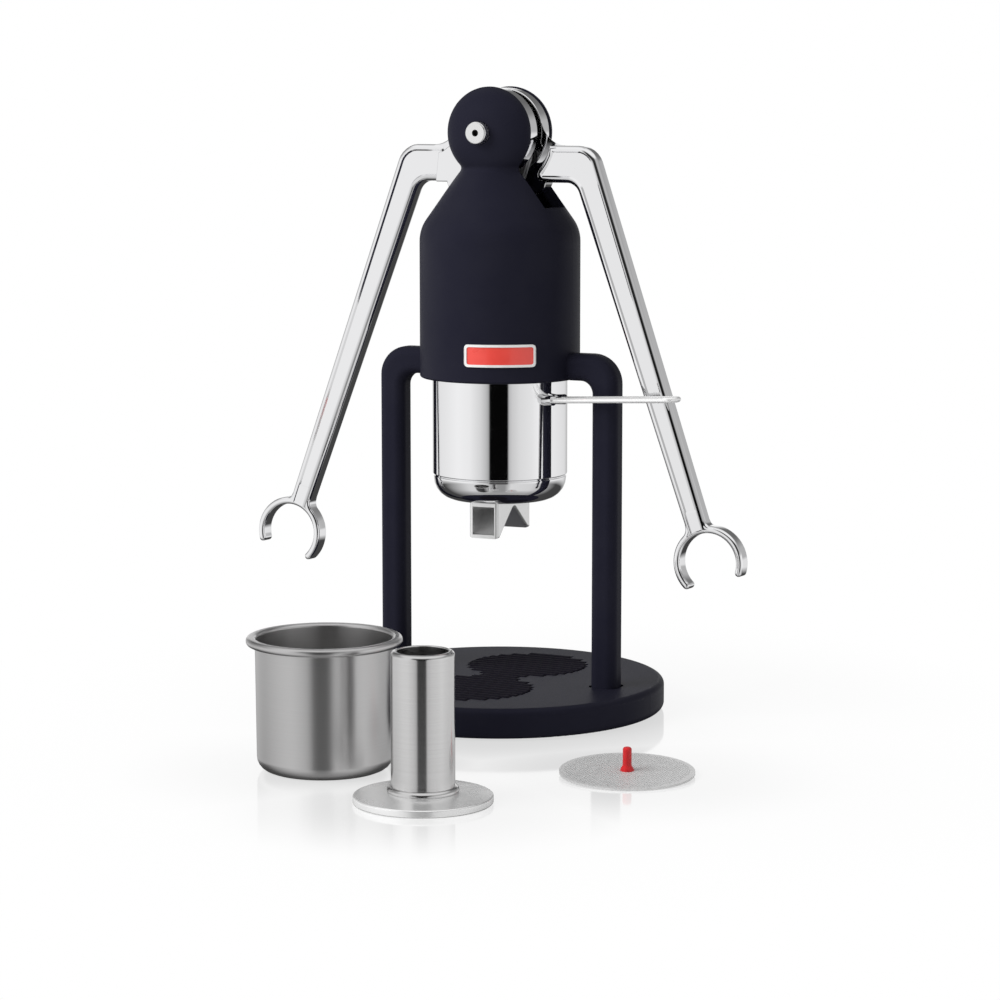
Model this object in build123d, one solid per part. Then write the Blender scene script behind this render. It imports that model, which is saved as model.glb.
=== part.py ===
from build123d import *
import os
from math import acos, asin, cos, degrees, radians, sin, sqrt

# Manual espresso maker. Origin at the centre of the base on the floor, +Z up, front towards -Y,
# legs and arms along X. All lengths in millimetres, angles in degrees.

# Fits
overrun = 3.0  # how far a cutting shape runs past what it cuts
running_gap = 0.05  # pin in a hole that it turns or slides in, on the radius
easy_gap = 0.15  # fastener or insert in its hole
move_gap = 0.3  # between pieces that pass each other

# Portafilter cup and the bayonet that holds it
cup_radius = 32.0
cup_wall = 1.2
cup_height = 68.5
cup_insert = 10.3  # part of the cup's height that is inside the body
cup_floor = 3.0
cup_corner = 12.0
cup_band = 11.9  # height of the line round the cup above its bottom
cup_band_step = 0.5
cup_groove = 0.7
lug_count = 3
lug_reach = 2.0
lug_height = 3.6
lug_angle = 28.0
lug_gap = 0.4
lug_entry_angle = 4.0  # how much wider the collar's openings are than the lugs
collar_height = 5.4
collar_set_in = 0.4
handle_turn = -16.0  # handle direction at rest, about Z from +X
unlock_turn = 50.0

# Double spout under the cup
spout_turn = 4.5
spout_width = 14.5
spout_reach = 21.5
spout_height = 16.6
spout_wall = 1.6
spout_lip = 3.2
spout_notch_drop = 3.5
spout_port_radius = 2.4
spout_screw_radius = 1.6
spout_screw_head = 3.0
spout_screw_head_height = 2.4

# Wire handle
wire_radius = 1.3
wire_spacing = 8.0
wire_reach = 108.5
wire_drop = 19.2  # below the cup's rim at the root
wire_tilt = 4.2
ferrule_radius = 2.4
ferrule_length = 5.0

# Body
body_wall = 3.6
body_bottom = 159.7
shoulder_height = 69.9
shoulder_round = 17.8
cone_height = 27.2
cone_wall = 5.0
neck_radius = 19.0
pivot_above_neck = 18.2
neck_rise = 8.0  # how far the cone runs on up inside the head
neck_round = 3.0
body_edge_round = 1.2
guide_seat = 24.3
guide_ledge = 5.0
cavity_lip = 6.0

# Head, hubs and the pin between the cheeks
hub_radius = 20.8
hub_thickness = 8.0
hub_side_gap = 0.4
hub_edge_round = 1.2
cheek_rim = 0.5
cheek_depth = 11.5
pin_radius = 3.2
pin_head_radius = 5.2
pin_head_height = 5.0
pin_seat_depth = 1.0
pin_tip_radius = 2.4
pin_tip_length = 2.4
pin_socket_width = 3.0
pin_socket_depth = 2.0
hub_bush_wall = 1.8

# Arms
arm_swing = 90.0
root_top_drop = 7.0
elbow_drop = 22.9
elbow_standoff = 4.8  # inner elbow corner outside the body's radius
elbow_outer_round = 8.0
elbow_inner_round = 5.0
arm_thickness = 9.0
arm_rake = 1.75  # forward lean of the forearms
arm_top_width = 10.2
arm_claw_width = 7.0
arm_edge_round = 1.4
lap_length = 7.9
lap_slope = 5.3
lap_back_length = 2.7
lap_back_slope = 6.5
slot_room = 12.1
claw_reach = 110.8
claw_drop = 196.1
claw_bore = 13.8
claw_wall = 3.4
claw_join_offset = 5.8
claw_open_turn = 19.0
claw_half_open = 58.5

# Cranks, links and crosshead inside the head
crank_radius = 16.0
crank_pin_radius = 2.0
crank_pin_grip = 6.4
link_thickness = 2.0
link_width = 6.4
link_pin_radius = 1.8
crosshead_lug = 4.0
crosshead_wall = 2.6
crosshead_block = 8.0
crosshead_clear = 2.6

# Piston, its rod and the guide
rod_radius = 5.0
rod_grip = 6.0
bush_wall = 2.0
boss_wall = 3.0
guide_flange = 6.0
guide_screw_count = 3
guide_screw_radius = 1.5
guide_screw_head = 2.2
guide_screw_head_height = 2.0
guide_screw_grip = 8.0
piston_height = 16.0
piston_gap = 2.5
piston_skirt = 0.8  # piston smaller than its seal, on the radius
seal_height = 6.0
seal_depth = 3.0
seal_gap = 0.1
bolt_radius = 2.5
bolt_head_radius = 5.0
bolt_head_height = 3.5
bolt_grip = 12.0

# Base, legs and what holds them
base_margin = 16.6
base_height = 14.9
base_round = 3.0
foot_margin = 6.9
foot_thickness = 2.0
foot_proud = 0.8
leg_standoff = 17.9  # leg centre outside the body's radius
leg_width = 12.8
leg_corner_round = 4.5
leg_bend_outer = 14.0
leg_bend_inner = 6.0
leg_socket_depth = 4.0
leg_socket_gap = 0.9
leg_screw_radius = 3.0
leg_screw_head = 5.0
leg_screw_head_height = 3.2
leg_screw_grip = 14.0
stud_radius = 2.5
stud_in_body = 2.8
stud_in_leg = 9.0

# Ribbed drip mat let into the base
mat_radius = 29.0
mat_offset = 31.0
mat_waist = 20.0
rib_pitch = 4.8
rib_width = 3.0
rib_height = 1.4
mat_web = 1.0
mat_recess = 2.0

# Badge on the body, turned towards the right of the front
badge_turn = 25.9
badge_width = 33.4
badge_height = 10.5
badge_rise = 7.9  # lower edge above the body's bottom
badge_round = 1.8
badge_border = 1.2
badge_plate_thickness = 0.7
badge_frame_thickness = 1.1

# Loose pieces on the floor
basket_place = (-11.7, -151.7)
basket_fit = 0.45
basket_wall = 0.6
basket_height = 59.0
basket_corner = 6.0
basket_rim_reach = 3.9
basket_rim_height = 3.4
tamper_place = (56.0, -189.0)
tamper_gap = 0.15
tamper_height = 64.5
tamper_foot_height = 5.0
tamper_edge_height = 3.2
tamper_stem_radius = 13.5
tamper_bore_radius = 10.9
tamper_bead = 0.7
tamper_bore_floor = 3.0
tamper_spigot_depth = 2.0
screen_place = (113.6, -107.4)
screen_thickness = 1.0
knob_radius = 1.95
knob_height = 10.5
knob_flare_radius = 3.0
knob_flare_height = 2.4
knob_spigot_radius = 1.4
knob_nub = 1.25  # what the knob stands out under the screen, which leans on it
screen_lean_turn = 25.9

# Sizes that follow from those above
body_bore = cup_radius + lug_reach + lug_gap
body_radius = body_bore + body_wall
leg_offset = body_radius + leg_standoff
base_radius = leg_offset + leg_width / 2 + base_margin
shoulder_z = body_bottom + shoulder_height
neck_z = shoulder_z + cone_height
pivot_z = neck_z + pivot_above_neck
cone_slope = (body_radius - neck_radius) / cone_height
guide_seat_z = body_bottom + guide_seat
upper_bore = body_bore - guide_ledge
cup_top = body_bottom + cup_insert
cup_bottom = cup_top - cup_height
cup_bore = cup_radius - cup_wall
hub_inner = move_gap + link_thickness + move_gap  # from the middle plane to a hub's inner face
hub_outer = hub_inner + hub_thickness
slot_half = hub_outer + hub_side_gap
cheek_radius = hub_radius + cheek_rim
cheek_apex = slot_half + cheek_depth
pin_seat = cheek_apex - pin_seat_depth
elbow_reach = body_radius + elbow_standoff
slot_floor_z = pivot_z - elbow_drop - slot_room
basket_radius = cup_bore - basket_fit
basket_bore = basket_radius - basket_wall
tamper_radius = basket_bore - tamper_gap
seal_radius = basket_bore - seal_gap
piston_radius = seal_radius - piston_skirt

# The cranks turn from half the swing below the level to half above it. The links keep their direction,
# so their lower pins wander by these amounts in the crosshead, which gets slots of that size.
half_swing = radians(arm_swing / 2)
stroke = 2 * crank_radius * sin(half_swing)
link_sideways = crank_radius * (1 + cos(half_swing)) / 2
sideways_play = crank_radius * (1 - cos(half_swing)) / 2
mean_rate_share = sin(half_swing) / half_swing
worst_turn = acos(mean_rate_share)
upright_play = crank_radius * (sin(worst_turn) - mean_rate_share * worst_turn)
crank_x = crank_radius * cos(half_swing)
crank_z = pivot_z - crank_radius * sin(half_swing)
slot_half_height = link_pin_radius + upright_play + easy_gap
slot_half_length = link_pin_radius + sideways_play + easy_gap
crosshead_half_width = slot_half_length + crosshead_wall
crosshead_half_height = slot_half_height + crosshead_wall
crosshead_pin_z = pivot_z - hub_radius - crosshead_clear - crosshead_half_height - stroke
crosshead_seat_z = crosshead_pin_z - crosshead_half_height
crosshead_bottom = crosshead_seat_z - crosshead_block
lug_outer = hub_inner + crosshead_lug
link_lower_x = crank_x - link_sideways
guide_bottom = guide_seat_z - guide_flange
guide_top = crosshead_bottom - piston_gap
piston_top = guide_bottom - guide_screw_head_height - piston_gap - stroke
piston_bottom = piston_top - piston_height


def rod_along_z(radius, low, high):
    rod = Cylinder(radius, high - low, align=(Align.CENTER, Align.CENTER, Align.MIN))
    return Pos(0, 0, low) * rod


def rod_along_y(radius, low, high):
    return Rot(X=-90) * rod_along_z(radius, low, high)


def rod_along_x(radius, low, high):
    return Rot(Y=90) * rod_along_z(radius, low, high)


def tube_along_z(outer, inner, low, high):
    return rod_along_z(outer, low, high) - rod_along_z(inner, low - overrun, high + overrun)


def tube_along_y(outer, inner, low, high):
    return rod_along_y(outer, low, high) - rod_along_y(inner, low - overrun, high + overrun)


def outline(*points):
    return make_face(Polyline(*points, close=True))


def round_corner(face, point, radius):
    corner = face.vertices().sort_by_distance(Vector(*point))[0]
    return fillet(corner, radius)


def turned(face):
    return revolve(Plane.XZ * face, Axis.Z)


def slab_across_y(face, low, high):
    return Pos(0, high, 0) * extrude(Plane.XZ * face, amount=high - low)


def slab_up(face, low, high):
    return Pos(0, 0, low) * extrude(face, amount=high - low)


def spread(count, radius, piece, start=0):
    return [Rot(Z=start + 360 * i / count) * Pos(radius, 0, 0) * piece for i in range(count)]


def group(pieces):
    return Compound(children=list(pieces))


def sector(radius, middle, width):
    edge = 2 * radius
    steps = [middle - width / 2, middle, middle + width / 2]
    return outline((0, 0), *[(edge * cos(radians(a)), edge * sin(radians(a))) for a in steps])


# Base


def mat_rows():
    rows = int((mat_offset + mat_radius) / rib_pitch - 1 / 2)
    for row in range(-rows, rows + 1):
        y = row * rib_pitch
        chord = sqrt(max(mat_radius**2 - (abs(y) - mat_offset) ** 2, 0))
        yield y, max(2 * chord, mat_waist)


def mat_face(row_height, margin):
    return Sketch() + [
        Pos(0, y) * Rectangle(length + 2 * margin, row_height + 2 * margin) for y, length in mat_rows()
    ]


def make_base_plate():
    plate = rod_along_z(base_radius, foot_proud, base_height)
    plate = fillet(plate.edges().filter_by(GeomType.CIRCLE), base_round)
    plate -= rod_along_z(base_radius - foot_margin + easy_gap, foot_proud - overrun, foot_thickness)
    plate -= slab_up(mat_face(rib_pitch, easy_gap), base_height - mat_recess, base_height + overrun)
    socket_width = leg_width + 2 * leg_socket_gap
    socket = RectangleRounded(socket_width, socket_width, leg_corner_round)
    for x in (-leg_offset, leg_offset):
        place = Pos(x, 0, 0)
        plate -= place * slab_up(socket, base_height - leg_socket_depth, base_height + overrun)
        plate -= place * rod_along_z(leg_screw_radius + easy_gap, foot_proud, base_height)
        head_top = foot_thickness + leg_screw_head_height
        plate -= place * rod_along_z(leg_screw_head + easy_gap, foot_proud, head_top)
    return plate


def make_foot_pad():
    return rod_along_z(base_radius - foot_margin, 0, foot_thickness)


def make_drip_mat():
    web_bottom = base_height - mat_recess
    web = slab_up(mat_face(rib_pitch, 0), web_bottom, web_bottom + mat_web)
    ribs = slab_up(mat_face(rib_width, 0), web_bottom, web_bottom + mat_web + rib_height)
    return web + ribs


def make_right_leg():
    low = base_height - leg_socket_depth
    inner_x = leg_offset - leg_width / 2
    outer_x = leg_offset + leg_width / 2
    bar_top = body_bottom + leg_width
    start = body_radius - body_wall
    corner_out = (outer_x, bar_top)
    corner_in = (inner_x, body_bottom)
    face = outline(
        (start, body_bottom), corner_in, (inner_x, low), (outer_x, low), corner_out, (start, bar_top)
    )
    face = round_corner(face, corner_out, leg_bend_outer)
    face = round_corner(face, corner_in, leg_bend_inner)
    leg = slab_across_y(face, -leg_width / 2, leg_width / 2)
    sides = leg.faces().filter_by(Axis.Y)
    leg = fillet(sides.edges().filter_by(lambda e: long_edge(e, start, low)), leg_corner_round)
    leg -= rod_along_z(body_radius, body_bottom - overrun, bar_top + overrun)
    leg -= Pos(leg_offset, 0, 0) * rod_along_z(leg_screw_radius + easy_gap, 0, low + leg_screw_grip)
    stud_z = body_bottom + leg_width / 2
    leg -= Pos(0, 0, stud_z) * rod_along_x(stud_radius + easy_gap, start, body_radius + stud_in_leg)
    return leg


def long_edge(edge, start, low):
    middle = edge.center()
    return middle.X > start + easy_gap and middle.Z > low + easy_gap


def make_leg_screw():
    seat = foot_thickness + leg_screw_head_height
    top = base_height - leg_socket_depth + leg_screw_grip - easy_gap
    head = rod_along_z(leg_screw_head, foot_thickness, seat)
    return head + rod_along_z(leg_screw_radius, foot_thickness, top)


def make_stud():
    stud = rod_along_x(stud_radius, body_radius - stud_in_body, body_radius + stud_in_leg - easy_gap)
    return Pos(0, 0, body_bottom + leg_width / 2) * stud


# Body


def cheek():
    arc = EllipticalCenterArc((0, 0), cheek_radius, cheek_depth, start_angle=0, arc_size=90)
    face = make_face([arc, Line((0, cheek_depth), (0, 0)), Line((0, 0), (cheek_radius, 0))])
    dome = revolve(Plane.XZ * face, Axis.Z)
    return Pos(0, 0, pivot_z) * Rot(X=90) * Pos(0, 0, slot_half) * dome


def head_outside():
    middle = Pos(0, 0, pivot_z) * rod_along_y(cheek_radius, -slot_half, slot_half)
    front = cheek()
    return middle + front + Rot(Z=180) * front


def body_outside():
    corner = (body_radius, shoulder_z)
    foot = (body_radius, body_bottom)
    cone_top = neck_z + neck_rise
    face = outline(
        (0, body_bottom),
        foot,
        corner,
        (neck_radius - neck_rise * cone_slope, cone_top),
        (0, cone_top),
    )
    face = round_corner(face, corner, shoulder_round)
    face = round_corner(face, foot, body_edge_round)
    body = turned(face) + head_outside()
    crease = body.edges().filter_by(lambda edge: lies_between(edge, neck_z - cone_height / 2, cone_top))
    return fillet(crease, neck_round)


def lies_between(edge, low, high):
    box = edge.bounding_box()
    return box.min.Z > low and box.max.Z < high


def body_cavity():
    wall = cone_wall * sqrt(1 + cone_slope**2)
    bend_z = shoulder_z + (body_radius - wall - upper_bore) / cone_slope
    top = slot_floor_z + cavity_lip
    top_radius = body_radius - wall - (top - shoulder_z) * cone_slope
    below = body_bottom - overrun
    return turned(
        outline(
            (0, below),
            (body_bore, below),
            (body_bore, guide_seat_z),
            (upper_bore, guide_seat_z),
            (upper_bore, bend_z),
            (top_radius, top),
            (0, top),
        )
    )


def make_body_shell():
    shell = body_outside() - body_cavity()
    slot_length = 2 * (body_radius + overrun)
    slot_height = pivot_z + cheek_radius + overrun - slot_floor_z
    slot = Box(slot_length, 2 * slot_half, slot_height, align=(Align.CENTER, Align.CENTER, Align.MIN))
    shell -= Pos(0, 0, slot_floor_z) * slot
    reach = cheek_apex + overrun
    pin_hole = rod_along_y(pin_radius + easy_gap, -reach, reach)
    front_seat = rod_along_y(pin_head_radius + easy_gap, -reach, -pin_seat)
    rear_seat = rod_along_y(pin_head_radius + easy_gap, pin_seat, reach)
    for hole in (pin_hole, front_seat, rear_seat):
        shell -= Pos(0, 0, pivot_z) * hole
    for turn in (0, 180):
        shell -= Rot(Z=turn) * Pos(0, 0, body_bottom + leg_width / 2) * rod_along_x(
            stud_radius + easy_gap, body_radius - stud_in_body - easy_gap, body_radius + overrun
        )
    hole_top = guide_seat_z + guide_screw_grip - guide_flange
    hole = rod_along_z(guide_screw_radius + easy_gap, guide_bottom, hole_top + easy_gap)
    for screw_hole in spread(guide_screw_count, guide_screw_circle(), hole, start=guide_screw_start()):
        shell -= screw_hole
    return shell


def guide_screw_circle():
    return body_bore - guide_screw_head - lug_gap


def guide_screw_start():
    return 180 / guide_screw_count / 2


def badge_face(margin):
    width = badge_width - 2 * margin
    height = badge_height - 2 * margin
    return RectangleRounded(width, height, badge_round - margin)


def badge_skin(thickness, face):
    middle_z = body_bottom + badge_rise + badge_height / 2
    reach = body_radius + badge_frame_thickness + overrun
    block = Pos(0, 0, middle_z) * slab_across_y(face, -reach, 0)
    low = body_bottom
    high = shoulder_z
    skin = tube_along_z(body_radius + thickness, body_radius, low, high)
    return Rot(Z=badge_turn) * (block & skin)


def make_badge_plate():
    return badge_skin(badge_plate_thickness, badge_face(badge_border))


def make_badge_frame():
    return badge_skin(badge_frame_thickness, badge_face(0) - badge_face(badge_border))


def make_main_pin():
    front = -pin_seat - pin_head_height
    pin = rod_along_y(pin_head_radius, front, -pin_seat)
    edge = pin.edges().sort_by(Axis.Y)[0]
    pin = fillet(edge, pin_seat_depth)
    pin += rod_along_y(pin_radius, -pin_seat, pin_seat)
    pin += rod_along_y(pin_tip_radius, pin_seat, pin_seat + pin_tip_length)
    socket = RegularPolygon(pin_socket_width / 2, 6, major_radius=False)
    pin -= slab_across_y(socket, front - overrun, front + pin_socket_depth)
    return Pos(0, 0, pivot_z) * pin


def make_pin_cap():
    cap = rod_along_y(pin_head_radius, pin_seat, pin_seat + pin_head_height)
    edge = cap.edges().sort_by(Axis.Y)[-1]
    cap = fillet(edge, pin_seat_depth)
    cap -= rod_along_y(pin_tip_radius, pin_seat - overrun, pin_seat + pin_tip_length)
    return Pos(0, 0, pivot_z) * cap


def collar_span():
    low = body_bottom + collar_set_in
    return low, low + collar_height


def make_group_collar():
    low, high = collar_span()
    collar = tube_along_z(body_bore, cup_radius + move_gap, low, high)
    opening = sector(body_bore, -unlock_turn, lug_angle + lug_entry_angle)
    cut = slab_up(opening, low - overrun, high + overrun) & tube_along_z(
        cup_radius + lug_reach + move_gap, cup_radius, low - overrun, high + overrun
    )
    for entry in spread(lug_count, 0, cut, start=handle_turn):
        collar -= entry
    return collar


def make_rod_guide():
    flange = rod_along_z(body_bore - easy_gap, guide_bottom, guide_seat_z)
    boss = rod_along_z(rod_radius + running_gap + bush_wall + boss_wall, guide_bottom, guide_top)
    guide = flange + boss
    guide -= rod_along_z(rod_radius + running_gap + bush_wall, guide_bottom - overrun, guide_top + overrun)
    hole = rod_along_z(guide_screw_radius + easy_gap, guide_bottom - overrun, guide_seat_z + overrun)
    for screw_hole in spread(guide_screw_count, guide_screw_circle(), hole, start=guide_screw_start()):
        guide -= screw_hole
    return guide


def make_guide_bush():
    bore = rod_radius + running_gap
    return tube_along_z(bore + bush_wall, bore, guide_bottom, guide_top)


def make_guide_screws():
    head = rod_along_z(guide_screw_head, guide_bottom - guide_screw_head_height, guide_bottom)
    shank = rod_along_z(guide_screw_radius, guide_bottom, guide_bottom + guide_screw_grip)
    return group(spread(guide_screw_count, guide_screw_circle(), head + shank, start=guide_screw_start()))


# Arms. The right arm is modelled, and the left one is such an arm turned half round, with its forearm
# leaning the other way, so that both lean to the front.


def forearm_face():
    inner_top = Vector(elbow_reach, -elbow_drop)
    join = Vector(claw_reach - claw_join_offset, -claw_drop)
    slant = (join - inner_top).normalized()
    across = Vector(-slant.Y, slant.X)
    outer_top = inner_top + across * arm_top_width
    rise = (-root_top_drop - outer_top.Y) / slant.Y
    corner = outer_top + slant * rise
    foot = join + across * (arm_top_width / 2)
    start = hub_radius + lap_back_length + lap_back_slope
    points = [
        (start, -root_top_drop),
        (corner.X, corner.Y),
        tuple(foot + across * (arm_claw_width / 2))[:2],
        tuple(foot - across * (arm_claw_width / 2))[:2],
        (elbow_reach, -elbow_drop),
        (start, -elbow_drop),
    ]
    face = outline(*points)
    face = round_corner(face, (corner.X, corner.Y), elbow_outer_round)
    return round_corner(face, (elbow_reach, -elbow_drop), elbow_inner_round)


def claw_face():
    ring = Circle(claw_bore + claw_wall) - Circle(claw_bore)
    middle = claw_open_turn - 90
    ring -= sector(claw_bore + claw_wall, middle, 2 * claw_half_open)
    tip_radius = claw_bore + claw_wall / 2
    for edge in (middle - claw_half_open, middle + claw_half_open):
        spot = Pos(tip_radius * cos(radians(edge)), tip_radius * sin(radians(edge)))
        ring += spot * Circle(claw_wall / 2)
    return Pos(claw_reach, -claw_drop) * ring


def rounded_slab(face, kept_square_x):
    slab = slab_across_y(face, -arm_thickness / 2, arm_thickness / 2)
    sides = slab.faces().filter_by(Axis.Y)
    edges = sides.edges().filter_by(lambda e: e.center().X > kept_square_x + easy_gap)
    return fillet(edges, arm_edge_round)


def make_bar():
    start = hub_radius + lap_back_length + lap_back_slope
    bar = rounded_slab(forearm_face(), start)
    bore = Pos(claw_reach, 0, -claw_drop) * rod_along_y(claw_bore, -arm_thickness, arm_thickness)
    return (bar - bore) + rounded_slab(claw_face(), start)


def make_root():
    half = arm_thickness / 2 - arm_edge_round
    back = hub_radius + lap_back_length
    step = hub_radius + lap_length
    end = back + lap_back_slope
    plan = outline(
        (0, hub_inner),
        (back, hub_inner),
        (end, -half),
        (end + lap_slope, -half),
        (end + lap_slope, half),
        (step + lap_slope, half),
        (step, hub_outer),
        (0, hub_outer),
    )
    return slab_up(plan, -elbow_drop, -root_top_drop)


def make_right_arm(rake):
    hub = rod_along_y(hub_radius, hub_inner, hub_outer)
    hub = fillet(hub.edges().filter_by(GeomType.CIRCLE), hub_edge_round)
    arm = hub + make_root() + Rot(X=-rake) * make_bar()
    arm -= rod_along_y(pin_radius + running_gap + hub_bush_wall, hub_inner - overrun, hub_outer + overrun)
    arm = Pos(0, 0, pivot_z) * arm
    return arm - Pos(crank_x, 0, crank_z) * rod_along_y(
        crank_pin_radius, hub_inner - overrun, hub_inner + crank_pin_grip
    )


def make_right_hub_bush():
    bore = pin_radius + running_gap
    return Pos(0, 0, pivot_z) * tube_along_y(bore + hub_bush_wall, bore, hub_inner, hub_outer)


def make_right_crank_pin():
    pin = rod_along_y(crank_pin_radius, move_gap, hub_inner + crank_pin_grip)
    return Pos(crank_x, 0, crank_z) * pin


def make_right_link():
    top = Vector(crank_x, crank_z)
    low = Vector(link_lower_x, crosshead_pin_z)
    middle = (top + low) / 2
    reach = (top - low).length
    lean = Vector(1, 0).get_signed_angle(top - low, Vector(0, 0, 1))
    face = Pos(middle.X, middle.Y) * SlotCenterToCenter(reach, link_width, rotation=lean)
    link = slab_across_y(face, move_gap, move_gap + link_thickness)
    far = hub_inner + overrun
    link -= Pos(top.X, 0, top.Y) * rod_along_y(crank_pin_radius + running_gap, -overrun, far)
    link -= Pos(low.X, 0, low.Y) * rod_along_y(link_pin_radius, -overrun, far)
    return link


def make_right_link_pin():
    pin = rod_along_y(link_pin_radius, move_gap, lug_outer - move_gap)
    return Pos(link_lower_x, 0, crosshead_pin_z) * pin


# Crosshead and piston


def make_crosshead():
    width = 2 * crosshead_half_width
    block = Box(
        width, 2 * lug_outer, crosshead_block, align=(Align.CENTER, Align.CENTER, Align.MIN)
    )
    head = Pos(0, 0, crosshead_bottom) * block
    lug = Pos(0, crosshead_pin_z) * RectangleRounded(
        width, 2 * crosshead_half_height, crosshead_wall
    )
    foot = Pos(0, crosshead_pin_z - crosshead_half_height / 2) * Rectangle(width, crosshead_half_height)
    slot = Pos(0, crosshead_pin_z) * SlotOverall(2 * slot_half_length, 2 * slot_half_height)
    face = (lug + foot) - slot
    rear = slab_across_y(face, hub_inner, lug_outer)
    head += rear
    head += Rot(Z=180) * rear
    return head - rod_along_z(rod_radius, crosshead_bottom - overrun, crosshead_bottom + rod_grip)


def make_piston_rod():
    rod = rod_along_z(rod_radius, piston_top, crosshead_bottom + rod_grip)
    return rod - rod_along_z(bolt_radius, piston_top - overrun, piston_top + bolt_grip)


def seal_span():
    low = piston_bottom + (piston_height - seal_height) / 2
    return low, low + seal_height


def make_piston_head():
    low, high = seal_span()
    head = rod_along_z(piston_radius, piston_bottom, piston_top)
    head -= tube_along_z(piston_radius + overrun, piston_radius - seal_depth, low, high)
    head -= rod_along_z(bolt_radius, piston_bottom - overrun, piston_top + overrun)
    return head - rod_along_z(
        bolt_head_radius, piston_bottom - overrun, piston_bottom + bolt_head_height
    )


def make_piston_seal():
    low, high = seal_span()
    return tube_along_z(seal_radius, piston_radius - seal_depth, low, high)


def make_piston_bolt():
    head = rod_along_z(bolt_head_radius, piston_bottom, piston_bottom + bolt_head_height)
    shank = rod_along_z(bolt_radius, piston_bottom, piston_top + bolt_grip)
    socket = RegularPolygon(bolt_radius, 6, major_radius=False)
    return head + shank - slab_up(socket, piston_bottom - overrun, piston_bottom + bolt_head_height / 2)


# Portafilter, modelled with its handle along +X and then turned to its place


def cup_outer_face():
    low_radius = cup_radius - cup_band_step
    band_z = cup_bottom + cup_band
    corner = (low_radius, cup_bottom)
    face = outline(
        (0, cup_bottom),
        corner,
        (low_radius, band_z - cup_groove),
        (low_radius - cup_groove, band_z),
        (cup_radius, band_z + cup_groove),
        (cup_radius, cup_top),
        (0, cup_top),
    )
    return round_corner(face, corner, min(cup_corner, cup_band - 2 * cup_groove))


def make_portafilter_cup():
    cup = turned(cup_outer_face())
    inner_corner = (cup_bore - cup_band_step - cup_groove, cup_bottom + cup_floor)
    inside = outline(
        (0, cup_bottom + cup_floor),
        inner_corner,
        (inner_corner[0], cup_bottom + cup_band + cup_corner / 2),
        (cup_bore, cup_bottom + cup_band + cup_corner),
        (cup_bore, cup_top + overrun),
        (0, cup_top + overrun),
    )
    inside = round_corner(inside, inner_corner, cup_corner - cup_floor)
    cup -= turned(inside)
    for side in (-1, 1):
        cup -= Rot(Z=spout_turn) * Pos(0, side * spout_reach / 2, 0) * rod_along_z(
            spout_port_radius, cup_bottom - overrun, cup_bottom + cup_floor + overrun
        )
    return cup - rod_along_z(spout_screw_radius, cup_bottom - overrun, cup_bottom + cup_floor)


def make_bayonet_lugs():
    low = collar_span()[1] + move_gap
    ring = tube_along_z(cup_radius + lug_reach, cup_radius, low, low + lug_height)
    lug = slab_up(sector(body_bore, 0, lug_angle), low, low + lug_height) & ring
    return group(spread(lug_count, 0, lug, start=handle_turn))


def make_double_spout():
    low = cup_bottom - spout_height
    notch_top = cup_bottom - spout_notch_drop
    foot = spout_reach - spout_lip
    side = outline(
        (-spout_reach, cup_bottom),
        (spout_reach, cup_bottom),
        (spout_reach, low),
        (foot, low),
        (0, notch_top),
        (-foot, low),
        (-spout_reach, low),
    )
    inner_top = cup_bottom - spout_wall
    mouth_floor = low + spout_wall
    spout = slab_across_y(side, -spout_width / 2, spout_width / 2)
    half = spout_width / 2 - spout_wall
    post = spout_screw_radius + spout_wall
    for turn in (0, 180):
        channel = outline(
            (post, inner_top),
            (spout_reach + overrun, inner_top),
            (spout_reach + overrun, mouth_floor),
            (spout_reach, mouth_floor),
            (post, inner_top - spout_wall / 2),
        )
        spout -= Rot(Z=turn) * slab_across_y(channel, -half, half)
        port = Pos(spout_reach / 2, 0, 0) * rod_along_z(
            spout_port_radius, inner_top - spout_wall, cup_bottom + overrun
        )
        spout -= Rot(Z=turn) * port
    spout -= rod_along_z(spout_screw_radius, low, cup_bottom + overrun)
    spout -= rod_along_z(spout_screw_head, low - overrun, notch_top - spout_wall / 2)
    return Rot(Z=spout_turn + 90) * spout


def make_spout_screw():
    seat = cup_bottom - spout_notch_drop - spout_wall / 2
    head = rod_along_z(spout_screw_head, seat - spout_screw_head_height, seat)
    shank = rod_along_z(spout_screw_radius, seat, cup_bottom + cup_floor)
    return head + shank


def at_handle(piece):
    tilt = Pos(cup_radius, 0, cup_top - wire_drop) * Rot(Y=-wire_tilt)
    return Rot(Z=handle_turn) * tilt * piece


def make_wire_handle():
    half = wire_spacing / 2
    straight = wire_reach - cup_radius - half - wire_radius
    start = wire_radius
    path = Wire(
        [
            Line((start, -half, 0), (straight, -half, 0)).edge(),
            ThreePointArc((straight, -half, 0), (straight + half, 0, 0), (straight, half, 0)).edge(),
            Line((straight, half, 0), (start, half, 0)).edge(),
        ]
    )
    section = Plane(origin=(start, -half, 0), z_dir=(1, 0, 0)) * Circle(wire_radius)
    return at_handle(sweep(section, path=path))


def make_handle_ferrules():
    pieces = []
    for y in (-wire_spacing / 2, wire_spacing / 2):
        sleeve = rod_along_x(ferrule_radius, -ferrule_length, ferrule_length)
        sleeve -= rod_along_x(wire_radius, wire_radius, ferrule_length + overrun)
        sleeve = at_handle(Pos(0, y, 0) * sleeve)
        pieces.append(sleeve - rod_along_z(cup_radius, cup_bottom, cup_top))
    return group(pieces)


# Loose pieces, each modelled about the Z axis and set down at its place


def set_down(place, piece):
    return Pos(place[0], place[1], 0) * piece


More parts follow.
